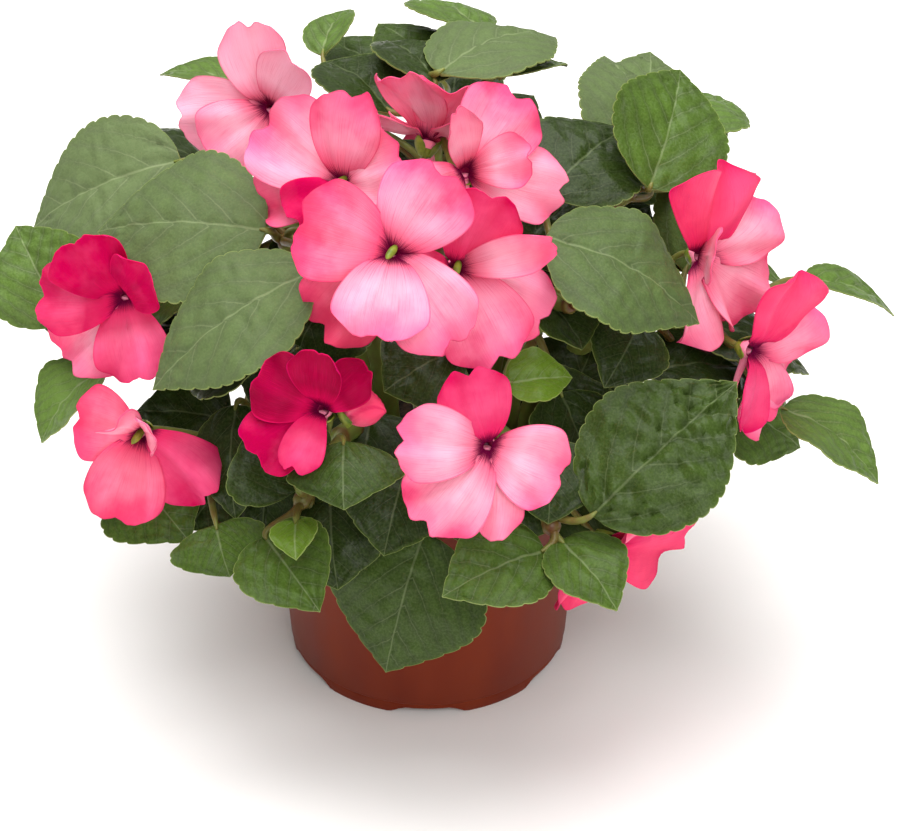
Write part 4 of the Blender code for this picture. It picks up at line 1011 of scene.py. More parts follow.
BLOOMS = (
    Bloom("centre", "upper_left", 0.9, Seen(392, 252, 96), -2, 38, (
        Petal(57, 27, 31, 14, -10, cup=-0.35, tint=Tint.ROSE),
        Petal(163, 28, 31, 8, -14, tint=Tint.CORAL),
        Petal(226, 31, 27, -10, -12, tint=Tint.CORAL),
        Petal(262, 26, 29, 16, -16, cup=0.15, tint=Tint.BLUSH),
        Petal(305, 32, 27, 6, -10, tint=Tint.BLUSH),
    )),
    Bloom("centre_right", "mid_right", 0.9, Seen(457, 268, 78), 14, 30, (
        Petal(62, 25, 25, 24, 6, cup=0.25, tint=Tint.WINE),
        Petal(9, 29, 15, 28, -4, cup=0.6, twist=20, tint=Tint.BLUSH, ruffle=0.7),
        Petal(-38, 31, 26, 4, -10, cup=0.2, tint=Tint.BLUSH),
        Petal(-72, 30, 29, 8, -14, tint=Tint.ROSE),
        Petal(186, 15, 18, 0, 0, tint=Tint.WINE),
    )),
    Bloom("upper_right", "top", 0.95, Seen(468, 170, 68), 22, 36, (
        Petal(108, 22, 14, 40, 6, cup=0.6, tint=Tint.PALE),
        Petal(44, 27, 28, 12, -6, cup=-0.1, tint=Tint.ROSE),
        Petal(-4, 18, 17, 40, -6, tint=Tint.BLUSH),
        Petal(-22, 31, 24, 2, -14, tint=Tint.PALE),
        Petal(200, 20, 20, 0, 0, tint=Tint.ROSE),
    ), capsule=0.0),
    Bloom("top", "top", 0.8, Seen(430, 132, 44), 160, 50, (
        Petal(75, 25, 26, 20, 0, cup=0.2, tint=Tint.BLUSH),
        Petal(120, 25, 24, 20, -8, tint=Tint.BLUSH),
        Petal(20, 20, 22, 10, -10, tint=Tint.BLUSH),
        Petal(165, 20, 22, 10, 0, tint=Tint.BLUSH),
        Petal(325, 14, 18, 10, 0, tint=Tint.BLUSH),
    ), capsule=0.0),
    Bloom("upper_left", "upper_left", 0.8, Seen(341, 182, 70), -14, 40, (
        Petal(82, 27, 24, 34, -10, cup=0.3, tint=Tint.ROSE, ruffle=1.6),
        Petal(24, 22, 26, 30, -6, cup=0.2, tint=Tint.BLUSH, ruffle=1.6),
        Petal(150, 30, 30, 16, -14, cup=0.2, tint=Tint.BLUSH, ruffle=1.6),
        Petal(196, 26, 22, 0, -20, cup=0.3, tint=Tint.ROSE, ruffle=1.6),
        Petal(235, 18, 22, 20, -10, tint=Tint.DEEP),
    ), capsule=7.0),
    Bloom("top_left", "top", 0.6, Seen(268, 108, 30), -10, 25, (
        Petal(104, 28, 22, 20, 0, cup=0.3, tint=Tint.LILAC),
        Petal(58, 22, 20, 26, 10, cup=0.2, tint=Tint.LILAC),
        Petal(190, 28, 24, 16, -20, tint=Tint.LILAC),
        Petal(225, 22, 26, 24, -20, tint=Tint.PALE),
        Petal(345, 13, 16, 10, 0, tint=Tint.ROSE),
    ), capsule=0.0, eye=0.1),
    Bloom("left", "left", 0.85, Seen(121, 298, 56), -16, 20, (
        Petal(125, 23, 26, 26, -6, cup=0.3, tint=Tint.DEEP, ruffle=1.3),
        Petal(45, 17, 22, 26, -4, cup=0.3, tint=Tint.DEEP),
        Petal(186, 25, 24, 20, -20, cup=0.2, tint=Tint.WINE, ruffle=1.3),
        Petal(236, 28, 26, 10, -16, cup=0.2, tint=Tint.BLUSH, ruffle=1.3),
        Petal(290, 25, 26, 12, -16, cup=0.2, tint=Tint.FUCHSIA, ruffle=1.3),
    ), capsule=0.0, eye=0.35),
    Bloom("lower_left", "lower_left", 0.9, Seen(139, 435, 54), -10, 22, (
        Petal(172, 20, 24, 8, -10, tint=Tint.CORAL),
        Petal(125, 16, 15, 56, 30, cup=-0.4, tint=Tint.PALE),
        Petal(28, 18, 14, 50, 20, cup=0.5, tint=Tint.PALE),
        Petal(258, 27, 27, 14, -14, cup=-0.3, tint=Tint.CORAL, ruffle=1.8),
        Petal(322, 28, 26, 8, -12, cup=-0.5, tint=Tint.WINE, ruffle=1.8),
    )),
    Bloom("front_left", "front_left", 0.7, Seen(319, 409, 92), -20, 34, (
        Petal(85, 19, 18, 34, 0, cup=0.4, tint=Tint.CRIMSON),
        Petal(48, 19, 15, 16, 0, cup=0.2, tint=Tint.CRIMSON),
        Petal(162, 20, 22, 22, -16, cup=0.2, tint=Tint.CRIMSON, ruffle=1.6),
        Petal(226, 24, 23, 16, -20, cup=0.3, tint=Tint.DEEP, ruffle=1.6),
        Petal(264, 19, 15, 24, -10, cup=-0.3, tint=Tint.WINE),
    ), capsule=0.0, eye=0.2),
    Bloom("front", "front", 1.0, Seen(488, 447, 98), 4, 28, (
        Petal(104, 23, 22, 12, -8, cup=0.2, tint=Tint.WINE),
        Petal(172, 26, 24, 12, -14, cup=0.2, tint=Tint.BLUSH, ruffle=1.5),
        Petal(-24, 23, 26, 10, -10, tint=Tint.BLUSH, ruffle=1.5),
        Petal(228, 29, 27, 10, -14, tint=Tint.BLUSH, ruffle=1.5),
        Petal(262, 26, 26, 4, -14, tint=Tint.BLUSH, ruffle=1.5),
    ), capsule=0.0, eye=0.06),
    Bloom("right", "right", 0.68, Seen(706, 256, 50), 40, 18, (
        Petal(80, 28, 32, 12, -6, tint=Tint.SCARLET, ruffle=1.8),
        Petal(24, 28, 32, 10, -10, tint=Tint.BLUSH, ruffle=1.8),
        Petal(-40, 30, 34, 6, -16, tint=Tint.BLUSH, ruffle=1.8),
        Petal(-84, 28, 32, 4, -16, tint=Tint.BLUSH, ruffle=1.8),
        Petal(150, 12, 18, 50, 0, tint=Tint.PALE, ruffle=0.4),
    ), capsule=0.0),
    Bloom("far_right", "right", 0.9, Seen(758, 352, 44), 46, 8, (
        Petal(62, 27, 26, 12, -6, tint=Tint.SCARLET, ruffle=1.6),
        Petal(16, 26, 30, 10, -10, tint=Tint.ROSE, ruffle=1.6),
        Petal(-36, 29, 30, 4, -16, tint=Tint.BLUSH, ruffle=1.6),
        Petal(-80, 30, 24, 4, -20, tint=Tint.ROSE, ruffle=1.6),
        Petal(-120, 24, 14, 10, -10, tint=Tint.WINE),
    ), capsule=0.0),
    Bloom("low_right", "front_right", 0.7, Seen(612, 550, 40), 44, -16, (
        Petal(30, 31, 32, 10, -10, tint=Tint.SCARLET),
        Petal(-16, 34, 34, 10, -16, tint=Tint.SCARLET),
        Petal(-80, 27, 24, 4, -16, tint=Tint.ROSE),
        Petal(-125, 24, 24, 4, -10, tint=Tint.CORAL),
        Petal(100, 18, 20, 10, 0, tint=Tint.CORAL),
    )),
)

BUDS = (Bud("front_left", "front_left", 0.8, Seen(362, 408, 88), 60, 10, 16, 11),)

HIDDEN_BLOOMS = (
    HiddenBloom("back_left", "back_left", 152, 92, 130),
    HiddenBloom("back", "back", 80, 102, 124),
    HiddenBloom("side_right", "back_right", 26, 94, 100),
    HiddenBloom("low_back", "back", 104, 102, 94),
)

# A bloom seen square on, which the hidden blooms vary
EVEN_PETALS = (
    Petal(90, 25, 26, 8, 0, cup=0.2),
    Petal(20, 27, 30, 4, -10),
    Petal(160, 27, 30, 4, -10),
    Petal(-52, 28, 30, 2, -14),
    Petal(-128, 28, 30, 2, -14),
)

HIDDEN_LEAVES = (
    HiddenLeaves("back_left", 5, 128, 100),
    HiddenLeaves("back", 6, 90, 100),
    HiddenLeaves("back_right", 6, 48, 100),
    HiddenLeaves("right", 2, 5, 60),
    HiddenLeaves("left", 2, 170, 60),
)


def stem_place(shoot: str, at: float) -> tuple[Points, Points]:
    """Return a place on a stem and the stem's direction there.

    Args:
        shoot: the shoot's name.
        at: the fraction of the stem's length.

    Returns:
        The place in mm and the direction.
    """
    path = smooth_path(STEMS[shoot], STEM_STEPS + 1)
    i = round(at * STEM_STEPS)
    return path[i], unit(path[min(STEM_STEPS, i + 1)] - path[max(0, i - 1)])


# Leaves, blooms and the bud


@dataclass
class Blade:
    """A leaf's blade and stalk: arched along, folded and waved across, with fine teeth."""

    leaf: Leaf
    shoot: str
    thickness: float = 0.45
    fold_power: float = 1.4
    waves: float = 2.2
    teeth_mm: float = 4.3
    steps_in_tooth: int = 6
    tooth_reach: float = 0.9
    tooth_root: float = 0.12
    half_columns: tuple[float, ...] = (0.045, 0.11, 0.2, 0.3, 0.41, 0.52, 0.63, 0.74, 0.84, 0.93, 1.0)
    vein_pairs: float = 5.2
    vein_lean: float = 0.95
    vein_bend: float = 0.8
    pillow_height: float = 0.36
    pillow_reach: float = 3.4
    blister_height: float = 0.6
    groove_depth: float = 0.6
    groove_width: float = 1.3
    rib_height: float = 0.9
    rib_width: float = 0.8
    side_rib_height: float = 0.2
    side_rib_width: float = 0.6
    stalk_radius: float = 1.5
    stalk_tip_radius: float = 1.0
    stalk_steps: int = 18
    stalk_sides: int = 8
    base: Points = field(init=False)
    length: float = field(init=False)
    along: Points = field(init=False)
    normal: Points = field(init=False)
    side: Points = field(init=False)
    flatness: float = field(init=False)

    def __post_init__(self) -> None:
        """Set the blade's own axes: along it, across it and out of its upper face."""
        leaf = self.leaf
        self.base = leaf.base.place()
        reach = leaf.tip.place() - self.base
        self.length = float(np.linalg.norm(reach))
        self.along = reach / self.length
        middle = self.base + reach / 2
        outward = unit(np.array((middle[0], middle[1], 0.0)))
        up = (1 - leaf.face) * (0.5 * outward + np.array((0.0, 0.0, 0.9))) - leaf.face * VIEW_INTO
        self.normal = unit(up - self.along * (up @ self.along))
        self.side = np.cross(self.normal, self.along)
        self.flatness = math.sqrt(1 - min(0.8, abs(leaf.fold) * 0.6) ** 2)

    def outline(self, s: np.ndarray) -> np.ndarray:
        """Work out how wide the blade is along its length.

        Args:
            s: how far along the blade each point is, from 0 to 1.

        Returns:
            Its half width there, as a share of the widest.
        """
        low = np.maximum(0.0, np.sin(math.pi / 2 * s / WIDEST_AT)) ** BASE_FULLNESS
        high = np.maximum(0.0, np.cos(math.pi / 2 * (s - WIDEST_AT) / (1 - WIDEST_AT))) ** TIP_FULLNESS
        return np.where(s < WIDEST_AT, low, high)

    def surface(self, s: Any, t: Any, tooth: Any, offset: Any) -> Points:
        """Return points on the blade.

        Args:
            s: how far along the blade, from 0 to 1.
            t: how far across it, from -1 to 1.
            tooth: how far a tooth stands out of the edge, in mm.
            offset: how far the point is off the middle layer, in mm.

        Returns:
            The points in mm.
        """
        s, t = np.broadcast_arrays(np.asarray(s, float), np.asarray(t, float))
        leaf = self.leaf
        half = leaf.width / 2 * self.outline(s) + tooth
        # The two sides of the blade wave out of step
        ripple = np.sin(2 * math.pi * self.waves * s + np.where(t > 0, 1.1, 2.4))
        height = half * (leaf.fold * np.abs(t) ** self.fold_power + leaf.wave * t * t * ripple) + offset
        slope = leaf.arch * math.pi * np.cos(math.pi * s)
        normal = unit(self.normal - self.along * slope[..., None])
        rise = leaf.arch * self.length * np.sin(math.pi * s)
        return (self.base + self.along * (self.length * s)[..., None] + self.normal * rise[..., None]
                + self.side * (half * t * self.flatness)[..., None] + normal * height[..., None])

    def veins(self, s: np.ndarray, t: np.ndarray, across: np.ndarray) -> np.ndarray:
        """Return a count along the blade that is whole on each side vein.

        Args:
            s: how far along the blade each point is, from 0 to 1.
            t: how far across it, from -1 to 1.
            across: how far each point is from the midrib, in mm.

        Returns:
            The count at each point.
        """
        bent = self.vein_lean * across + self.vein_bend * across ** 2 / (self.leaf.width / 2)
        # The veins of one side leave the midrib a little after those of the other
        return (s * self.length - bent) / self.vein_gap() + 0.4 + 0.2 * np.sign(t)

    def vein_gap(self) -> float:
        """Return the distance between side veins in mm."""
        return self.length / self.vein_pairs

    def blisters(self, x: np.ndarray, y: np.ndarray) -> np.ndarray:
        """Return the height of the small blisters between the veins.

        Args:
            x: how far along the blade each point is, in mm.
            y: how far across it, in mm.

        Returns:
            The height at each point, between about -1 and 1.
        """
        turn = self.length + 3 * self.base[0]
        x = x + 3.0 * np.sin(0.29 * y + turn) + 2.2 * np.sin(0.17 * x + 2 * turn)
        y = y + 2.6 * np.sin(0.23 * x + turn)
        one = np.sin(0.62 * x + turn) * np.sin(0.74 * y + 2 * turn)
        two = np.sin(0.31 * x - 0.48 * y + 3 * turn) * np.sin(0.4 * y + 0.22 * x + turn)
        return 0.7 * one + 0.6 * two

    def relief(self, s: np.ndarray, t: np.ndarray, across: np.ndarray,
               gap: np.ndarray) -> tuple[np.ndarray, np.ndarray]:
        """Work out the quilted face of the blade and the ribs beneath.

        Args:
            s: how far along the blade each point is, from 0 to 1.
            t: how far across it, from -1 to 1.
            across: how far each point is from the midrib, in mm.
            gap: how far it is from the nearest side vein, in mm.

        Returns:
            How far the sheet rises at each point and how far a rib stands out of its
            lower face, in mm.
        """
        leaf = self.leaf
        strength = leaf.quilt * ramp(s, 0.0, 0.1) * ramp(s, 1.0, 0.8) * ramp(np.abs(t), 1.0, 0.7)
        rise = self.pillow_height * np.sqrt(np.minimum(gap / self.pillow_reach, 1.0)) * strength / leaf.quilt
        rise += self.blister_height * self.blisters(s * self.length, t * leaf.width / 2) * strength
        rise -= self.groove_depth * bump(across, self.groove_width) * ramp(s, 1.0, 0.6)
        rib = self.rib_height * bump(across, self.rib_width) * (1 - 0.85 * s)
        rib = rib + self.side_rib_height * bump(gap, self.side_rib_width) * strength
        return rise, rib

    def grow(self, shape: Shape) -> None:
        """Add the blade and its stalk.

        Args:
            shape: the shape to add them to.
        """
        leaf = self.leaf
        teeth = max(5, round(self.length / self.teeth_mm))
        steps = teeth * self.steps_in_tooth
        rows = np.linspace(0.0, 1.0, steps + 1)
        half_columns = np.array(self.half_columns)
        columns = np.concatenate((-half_columns[::-1], (0.0,), half_columns))
        s, t = np.meshgrid(rows, columns, indexing="ij")
        within = (rows * teeth) % 1.0
        saw = 1 - np.abs(2 * within ** 0.8 - 1) ** 3
        reach = self.tooth_reach * min(1.0, leaf.width / 40)
        fade = ramp(rows, 0.02, 0.12) * ramp(rows, 1.0, 0.93)
        tooth = (self.tooth_root + reach * (0.1 + 0.9 * saw) * fade)[:, None]
        half = leaf.width / 2 * self.outline(s) + tooth
        across = half * np.abs(t)
        plain = leaf.width / 2 * self.outline(s) * np.abs(t)
        vein = self.veins(s, t, plain)
        gap = np.abs(vein - np.round(vein)) * self.vein_gap()
        rise, rib = self.relief(s, t, across, gap)
        upper = self.surface(s, t, tooth, self.thickness / 2 + rise)
        lower = self.surface(s, t, tooth, -self.thickness / 2 + rise - rib)
        points, faces, count = closed_sheet(upper, lower)
        edge = half * (1 - np.abs(t)) * ramp(s, 0.0, 0.02)
        spot = np.stack((vein, across / (1 - 0.65 * s), edge), axis=-1).reshape(-1, 3)
        skins = [Skin.LEAF_TOP] * count + [Skin.LEAF_UNDER] * (len(faces) - count)
        shape.add(points, faces, skins, np.vstack((spot, spot)), np.array(leaf.green.value))
        self.grow_stalk(shape)

    def grow_stalk(self, shape: Shape) -> None:
        """Add the stalk, from the stem to just inside the blade.

        Args:
            shape: the shape to add it to.
        """
        start, along = stem_place(self.shoot, self.leaf.at)
        run = float(np.linalg.norm(self.base - start))
        into = unit(self.along + self.normal * self.leaf.arch * math.pi)
        ease = run * 0.35 * (1 + min(0.0, into @ unit(self.base - start)))
        path = bezier(start, start + along * run * 0.35, self.base - into * ease,
                      self.base + into * PETIOLE_SINK, self.stalk_steps)
        radii = np.linspace(self.stalk_radius, self.stalk_tip_radius, self.stalk_steps)
        radii[-3:] = (0.9, 0.7, 0.4)
        shape.add_stem(path, radii, self.stalk_sides, np.linspace(0.75, 0.35, self.stalk_steps))


@dataclass
class Head:
    """The frame that a bloom or bud is shaped in: Z the way it faces, Y up, X right."""

    flower: Bloom | Bud
    seed: int = 0
    stalk_radius: float = 1.15
    stalk_tip_radius: float = 0.95
    stalk_overlap: float = 0.6
    stalk_steps: int = 22
    stalk_sides: int = 8
    sepal_thickness: float = 0.35
    centre: Points = field(init=False)
    facing: Points = field(init=False)
    up: Points = field(init=False)
    right: Points = field(init=False)

    def __post_init__(self) -> None:
        """Set the frame's centre and its axes."""
        self.centre = self.flower.centre.place()
        self.facing = direction(self.flower.azimuth - 90, self.flower.elevation)
        self.up = unit(np.array((0.0, 0.0, 1.0)) - self.facing * self.facing[2])
        self.right = np.cross(self.up, self.facing)

    def tail(self) -> float:
        """Return how far behind its centre the flower ends, in mm."""
        raise NotImplementedError

    def out(self, points: Points) -> Points:
        """Return points of this frame in the plant's."""
        return self.centre + np.asarray(points) @ np.array((self.right, self.up, self.facing))

    def grow_stalk(self, shape: Shape) -> None:
        """Add the flower stalk, which meets the flower from behind.

        Args:
            shape: the shape to add it to.
        """
        start, along = stem_place(self.flower.shoot, self.flower.at)
        end = self.centre - self.facing * (self.tail() - self.stalk_overlap)
        run = float(np.linalg.norm(end - start))
        leave = start + (along + np.array((0.0, 0.0, 1.0))) * run * 0.2
        path = bezier(start, leave, end - self.facing * run * 0.3, end, self.stalk_steps)
        radii = np.linspace(self.stalk_radius, self.stalk_tip_radius, self.stalk_steps)
        shape.add_stem(path, radii, self.stalk_sides, np.linspace(0.15, 0.45, self.stalk_steps))

    def add_sepal(self, shape: Shape, around: np.ndarray, radius: np.ndarray, depth: np.ndarray) -> None:
        """Add a small green sepal that hugs the flower.

        Args:
            shape: the shape to add it to.
            around: the angle of each of its points about the flower's middle.
            radius: how far from the middle each point of its inner face is, in mm.
            depth: how far in front of the flower's centre each point is, in mm.
        """
        outer, inner = (np.stack((wide * np.cos(around), wide * np.sin(around), depth), axis=-1)
                        for wide in (radius + self.sepal_thickness, radius))
        points, faces, _ = closed_sheet(outer, inner)
        shape.add(self.out(points), faces, [Skin.CAPSULE], 0.0, 0.5)


@dataclass(frozen=True)
class PetalOutline:
    """How a petal's outline runs: how its sides fall back, its end notch and its narrowing."""

    side_cut: float
    side_power: float
    notch: float
    narrowing_power: float
    opening_power: float
    root_share: float = 0.14
    narrowing: float = 0.16


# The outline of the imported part's petals, and the rounder one that is built
PACKED_OUTLINE = PetalOutline(0.28, 2.2, 0.07, 1.0, 1.15)
ROUND_OUTLINE = PetalOutline(0.17, 2.4, 0.08, 2.0, 0.62)

# The throat's radii and heights, from its back up its outside, over the lip and down inside,
# and how many of its rings have green behind them and how many lie outside
THROAT = ((1.0, -8.0), (1.8, -7.6), (2.5, -5.4), (2.8, -3.6), (2.3, -2.9), (1.8, -3.2), (1.2, -4.8),
          (0.5, -6.4))
THROAT_REAR, THROAT_OUTER = 2, 4


@dataclass
class BloomHead(Head):
    """A bloom: five thin petals in layers round a dark throat, with a spur behind."""

    flower: Bloom
    rows: int = 27
    columns: int = 29
    thickness: float = 0.35
    frill: float = 0.55
    spreading: float = 0.75
    ragged: float = 0.016
    broad_fold: float = 2.0
    fine_fold: float = 0.6
    roll: float = 0.9
    fold_reach: float = 30.0
    crease: float = 0.4
    throat_sides: int = 16
    spur_radius: float = 1.5
    spur_tip_radius: float = 0.45
    spur_steps: int = 18
    capsule_radius: float = 1.2
    sepal_turns: tuple[int, ...] = (60, 180, 300)
    rng: np.random.Generator = field(init=False)
    phases: np.ndarray = field(init=False)

    def __post_init__(self) -> None:
        """Set the frame, and draw where the folds of the petals run."""
        super().__post_init__()
        self.rng = np.random.default_rng(self.seed)
        self.phases = self.rng.uniform(0, 2 * math.pi, 3)

    def tail(self) -> float:
        """Return how far behind its centre the throat ends, in mm."""
        return THROAT_BACK

    def folds(self, points: Points) -> np.ndarray:
        """Return the height of the folds at points, the same in all petals so that none cross.

        Args:
            points: the points in the bloom's frame, in mm.

        Returns:
            The height at each of them, in mm.
        """
        x, y = points[..., 0], points[..., 1]
        turn, reach = np.arctan2(y, x), np.hypot(x, y) / self.fold_reach
        first, second, third = self.phases
        broad = self.broad_fold * np.sin(8 * turn + first + 2.0 * reach) * reach ** 1.6
        fine = self.fine_fold * np.sin(19 * turn + second + 3.0 * reach) * reach ** 3
        return broad + fine + self.roll * np.sin(0.17 * x + 0.11 * y + third) * reach

    def surface(self, petal: Petal, s: Any, t: Any, offset: Any, height: Any,
                outline: PetalOutline = ROUND_OUTLINE) -> Points:
        """Return points on a petal.

        Args:
            petal: the petal.
            s: how far along it, from 0 to 1.
            t: how far across it, from -1 to 1.
            offset: how far the point is off its middle layer, in mm.
            height: how far in front of the throat its layer lies, in mm.
            outline: how its outline runs.

        Returns:
            The points in the bloom's frame, in mm.
        """
        s, t = np.broadcast_arrays(np.asarray(s, float), np.asarray(t, float))
        angle, lift, curl = np.radians((petal.angle, petal.lift, petal.curl))
        outward = np.array((math.cos(angle), math.sin(angle), 0.0))
        sideways = np.array((-math.sin(angle), math.cos(angle), 0.0))
        face = np.array((0.0, 0.0, 1.0))
        notched = outline.notch * np.maximum(0.0, 1 - np.abs(t) * 3) * s ** 4
        reach = s * (1 - outline.side_cut * np.abs(t) ** outline.side_power * s * s - notched)
        slope = lift + curl * reach
        far, high = math.cos(lift) * reach, math.sin(lift) * reach
        if abs(curl) > 1e-3:
            far = (np.sin(slope) - math.sin(lift)) / curl
            high = (math.cos(lift) - np.cos(slope)) / curl
        normal = face * np.cos(slope)[..., None] - outward * np.sin(slope)[..., None]
        turn = (math.radians(petal.twist) * reach)[..., None]
        across = sideways * np.cos(turn) + normal * np.sin(turn)
        normal = normal * np.cos(turn) - sideways * np.sin(turn)
        opened = np.sin(math.pi / 2 * np.minimum(1.0, s / PETAL_WIDEST_AT))
        opening = outline.root_share + (1 - outline.root_share) * opened ** outline.opening_power
        end = np.maximum(0.0, s - PETAL_WIDEST_AT) / (1 - PETAL_WIDEST_AT)
        half = petal.width / 2 * opening * (1 - outline.narrowing * end ** outline.narrowing_power)
        cup = petal.cup * (0.3 + 0.7 * s)
        safe = np.where(np.abs(cup) > 1e-3, cup, 1e-3)
        wide = half * np.sin(2 * safe * t) / (2 * safe)
        deep = half * (1 - np.cos(2 * safe * t)) / (2 * safe)
        return (outward * (PETAL_ROOT + petal.length * far)[..., None]
                + face * (height + petal.length * high)[..., None]
                + across * wide[..., None] + normal * (deep + offset)[..., None])

    def grow_petal(self, shape: Shape, petal: Petal, height: float) -> None:
        """Add a petal.

        Args:
            shape: the shape to add it to.
            petal: the petal.
            height: how far in front of the throat its layer lies, in mm.
        """
        s, t = np.meshgrid(np.linspace(0.0, 1.0, self.rows) ** 0.9, np.linspace(-1.0, 1.0, self.columns),
                           indexing="ij")
        a, b, c = self.rng.uniform(0, 2 * math.pi, 3)
        fine = self.rng.uniform(2.6, 3.8)
        dip = -2.4 * (1 - ramp(s, 0.0, 0.16))
        level = height * (0.25 + 0.75 * ramp(s, 0.0, 0.35) + self.spreading * s * s) + dip
        scallops = np.sin(0.9 * math.pi * fine * t + c) + 0.3 * np.sin(2.1 * math.pi * fine * t + a)
        reach = s * (1 + self.ragged * scallops * s ** 5)
        folds = petal.ruffle * self.folds(self.surface(petal, reach, t, 0.0, level))
        curl = petal.ruffle * self.frill * np.sin(5 * t + b) * s ** 7
        ridge = -self.crease * bump(t, 0.1) * ramp(s, 0.0, 0.2) * ramp(s, 0.95, 0.4)
        offset = folds + curl + ridge
        upper = self.surface(petal, reach, t, offset + self.thickness / 2, level)
        lower = self.surface(petal, reach, t, offset - self.thickness / 2, level)
        points, faces, count = closed_sheet(upper, lower)
        edge = np.minimum(petal.length * (1 - s), petal.width / 2 * (1 - np.abs(t)))
        spot = np.stack((s, t + petal.angle, edge), axis=-1).reshape(-1, 3)
        tone, warm, pale = petal.tint.value
        # Painted shade of the folds: the tone deepens where a fold sinks back and pales on its crests
        tone = tone + 0.12 * np.abs(t) ** 2 * s + 0.1 * ramp(s, 0.7, 1.0) - 0.05 * folds
        tone = tone + self.flower.eye * 2 * ramp(s, 0.55, 0.1)
        warm = warm + 0.3 * np.sin(a + 2.2 * t + s)
        look = np.stack((tone, warm, pale * (1 - 0.45 * np.abs(t) ** 2)), axis=-1).reshape(-1, 3)
        shape.add(self.out(points), faces, [Skin.PETAL], np.vstack((spot, spot)), np.vstack((look, look)))

    def grow(self, shape: Shape) -> None:
        """Add the petals, the throat, the spur, the sepals and the capsule.

        Args:
            shape: the shape to add them to.
        """
        layers = sorted(self.flower.petals, key=lambda petal: petal.lift)
        middle = (len(layers) - 1) / 2
        for layer, petal in enumerate(layers):
            self.grow_petal(shape, petal, (layer - middle) * PETAL_LAYER)
        self.grow_throat(shape)
        path = bezier(np.array((0.0, -0.5, -4.5)), np.array((0.0, -9.0, -6.5)),
                      np.array((0.0, -14.5, -13.5)), np.array((0.0, -25.0, -9.5)), self.spur_steps)
        points, faces = tube(path, np.linspace(self.spur_radius, self.spur_tip_radius, self.spur_steps),
                             self.stalk_sides)
        shape.add(self.out(points), faces, [Skin.PETAL], (0.5, 0.0, 5.0), np.array(Tint.ROSE.value))
        for turn in self.sepal_turns:
            self.grow_sepal(shape, turn)
        if self.flower.capsule > 0:
            self.grow_capsule(shape, self.flower.capsule)

    def grow_throat(self, shape: Shape) -> None:
        """Add the throat: green behind, pink to its lip and dark inside.

        Args:
            shape: the shape to add it to.
        """
        points, faces = turned(THROAT, self.throat_sides)
        rear, outer = (1 + rings * self.throat_sides for rings in (THROAT_REAR, THROAT_OUTER))
        skins = [Skin.CAPSULE] * rear + [Skin.PETAL] * (outer - rear) + [Skin.THROAT] * (len(faces) - outer)
        shape.add(self.out(points), faces, skins, (0.5, 0.0, 5.0), np.array(Tint.ROSE.value))

    def grow_sepal(self, shape: Shape, turn: float) -> None:
        """Add one small green sepal that hugs the tube behind the petals.

        Args:
            shape: the shape to add it to.
            turn: its angle round the tube, in degrees.
        """
        s, t = sheet_grid(9, 5)
        around = math.radians(turn) + 0.75 * t * np.sin(math.pi * np.clip(0.2 + 0.8 * s, 0.0, 0.97)) ** 0.8
        self.add_sepal(shape, around, 1.6 + 2.4 * np.sin(math.pi / 2 * s), 5.5 * s - 7.8)

    def grow_capsule(self, shape: Shape, length: float) -> None:
        """Add the green seed capsule that hangs out of the throat.

        Args:
            shape: the shape to add it to.
            length: how far it reaches, in mm.
        """
        radii = np.array((0.3, 0.7, 0.95, 1.0, 0.9, 0.6, 0.15)) * self.capsule_radius
        start, tip = np.array((1.1, 1.9, -1.6)), np.array((-0.26, -0.42, 0.5)) * length
        path = bezier(start, start + (-0.2, -0.4, 1.2), tip - (-0.3, -0.6, 0.9), tip, len(radii))
        points, faces = tube(path, radii, 10)
        shape.add(self.out(points), faces, [Skin.CAPSULE], 0.0, 0.5)


@dataclass
class BudHead(Head):
    """A closed bud: petals rolled round each other, cupped by green sepals behind."""

    flower: Bud
    rolled: int = 3
    roll_turn: float = 2.2
    sides: int = 36
    steps: int = 24
    sepal_turns: tuple[int, ...] = (70, 190, 310)

    def tail(self) -> float:
        """Return how far behind its centre the bud ends, in mm."""
        return self.flower.length / 2

    def grow(self, shape: Shape) -> None:
        """Add the rolled petals and the sepals.

        Args:
            shape: the shape to add them to.
        """
        bud = self.flower
        along = np.linspace(0.0, 1.0, self.steps)
        body = np.sin(math.pi * np.clip(along, 0.02, 0.985)) ** 0.62 * (1 - 0.35 * along)
        angle = np.arange(self.sides) * 2 * math.pi / self.sides
        a, s = np.meshgrid(angle, along)
        fold = ((a + self.roll_turn * s) * self.rolled / (2 * math.pi)) % 1.0
        radius = bud.width / 2 * body[:, None] * 1.25 * (0.86 + 0.2 * fold * ramp(s, 0.0, 0.3))
        points = np.stack((radius * np.cos(a), radius * np.sin(a), (s - 0.5) * bud.length), axis=-1)
        spot = np.stack((0.3 + 0.7 * s, fold, 4 * np.minimum(fold, 1 - fold)), axis=-1).reshape(-1, 3)
        shape.add(self.out(points.reshape(-1, 3)), ring_faces(self.steps, self.sides), [Skin.PETAL], spot,
                  np.array(Tint.CORAL.value))
        for turn in self.sepal_turns:
            self.grow_sepal(shape, turn)

    def grow_sepal(self, shape: Shape, turn: float) -> None:
        """Add one small pointed sepal that hugs the bud's base.

        Args:
            shape: the shape to add it to.
            turn: its angle round the bud, in degrees.
        """
        s, t = sheet_grid(11, 7)
        around = math.radians(turn) + 0.55 * t * np.sin(math.pi * np.clip(s * 0.86 + 0.14, 0, 1)) ** 0.7
        radius = self.flower.width / 2 * (0.25 + 0.95 * np.sin(math.pi / 2 * np.clip(s * 1.3, 0, 1)))
        self.add_sepal(shape, around, radius, (s * 0.55 - 0.52) * self.flower.length)


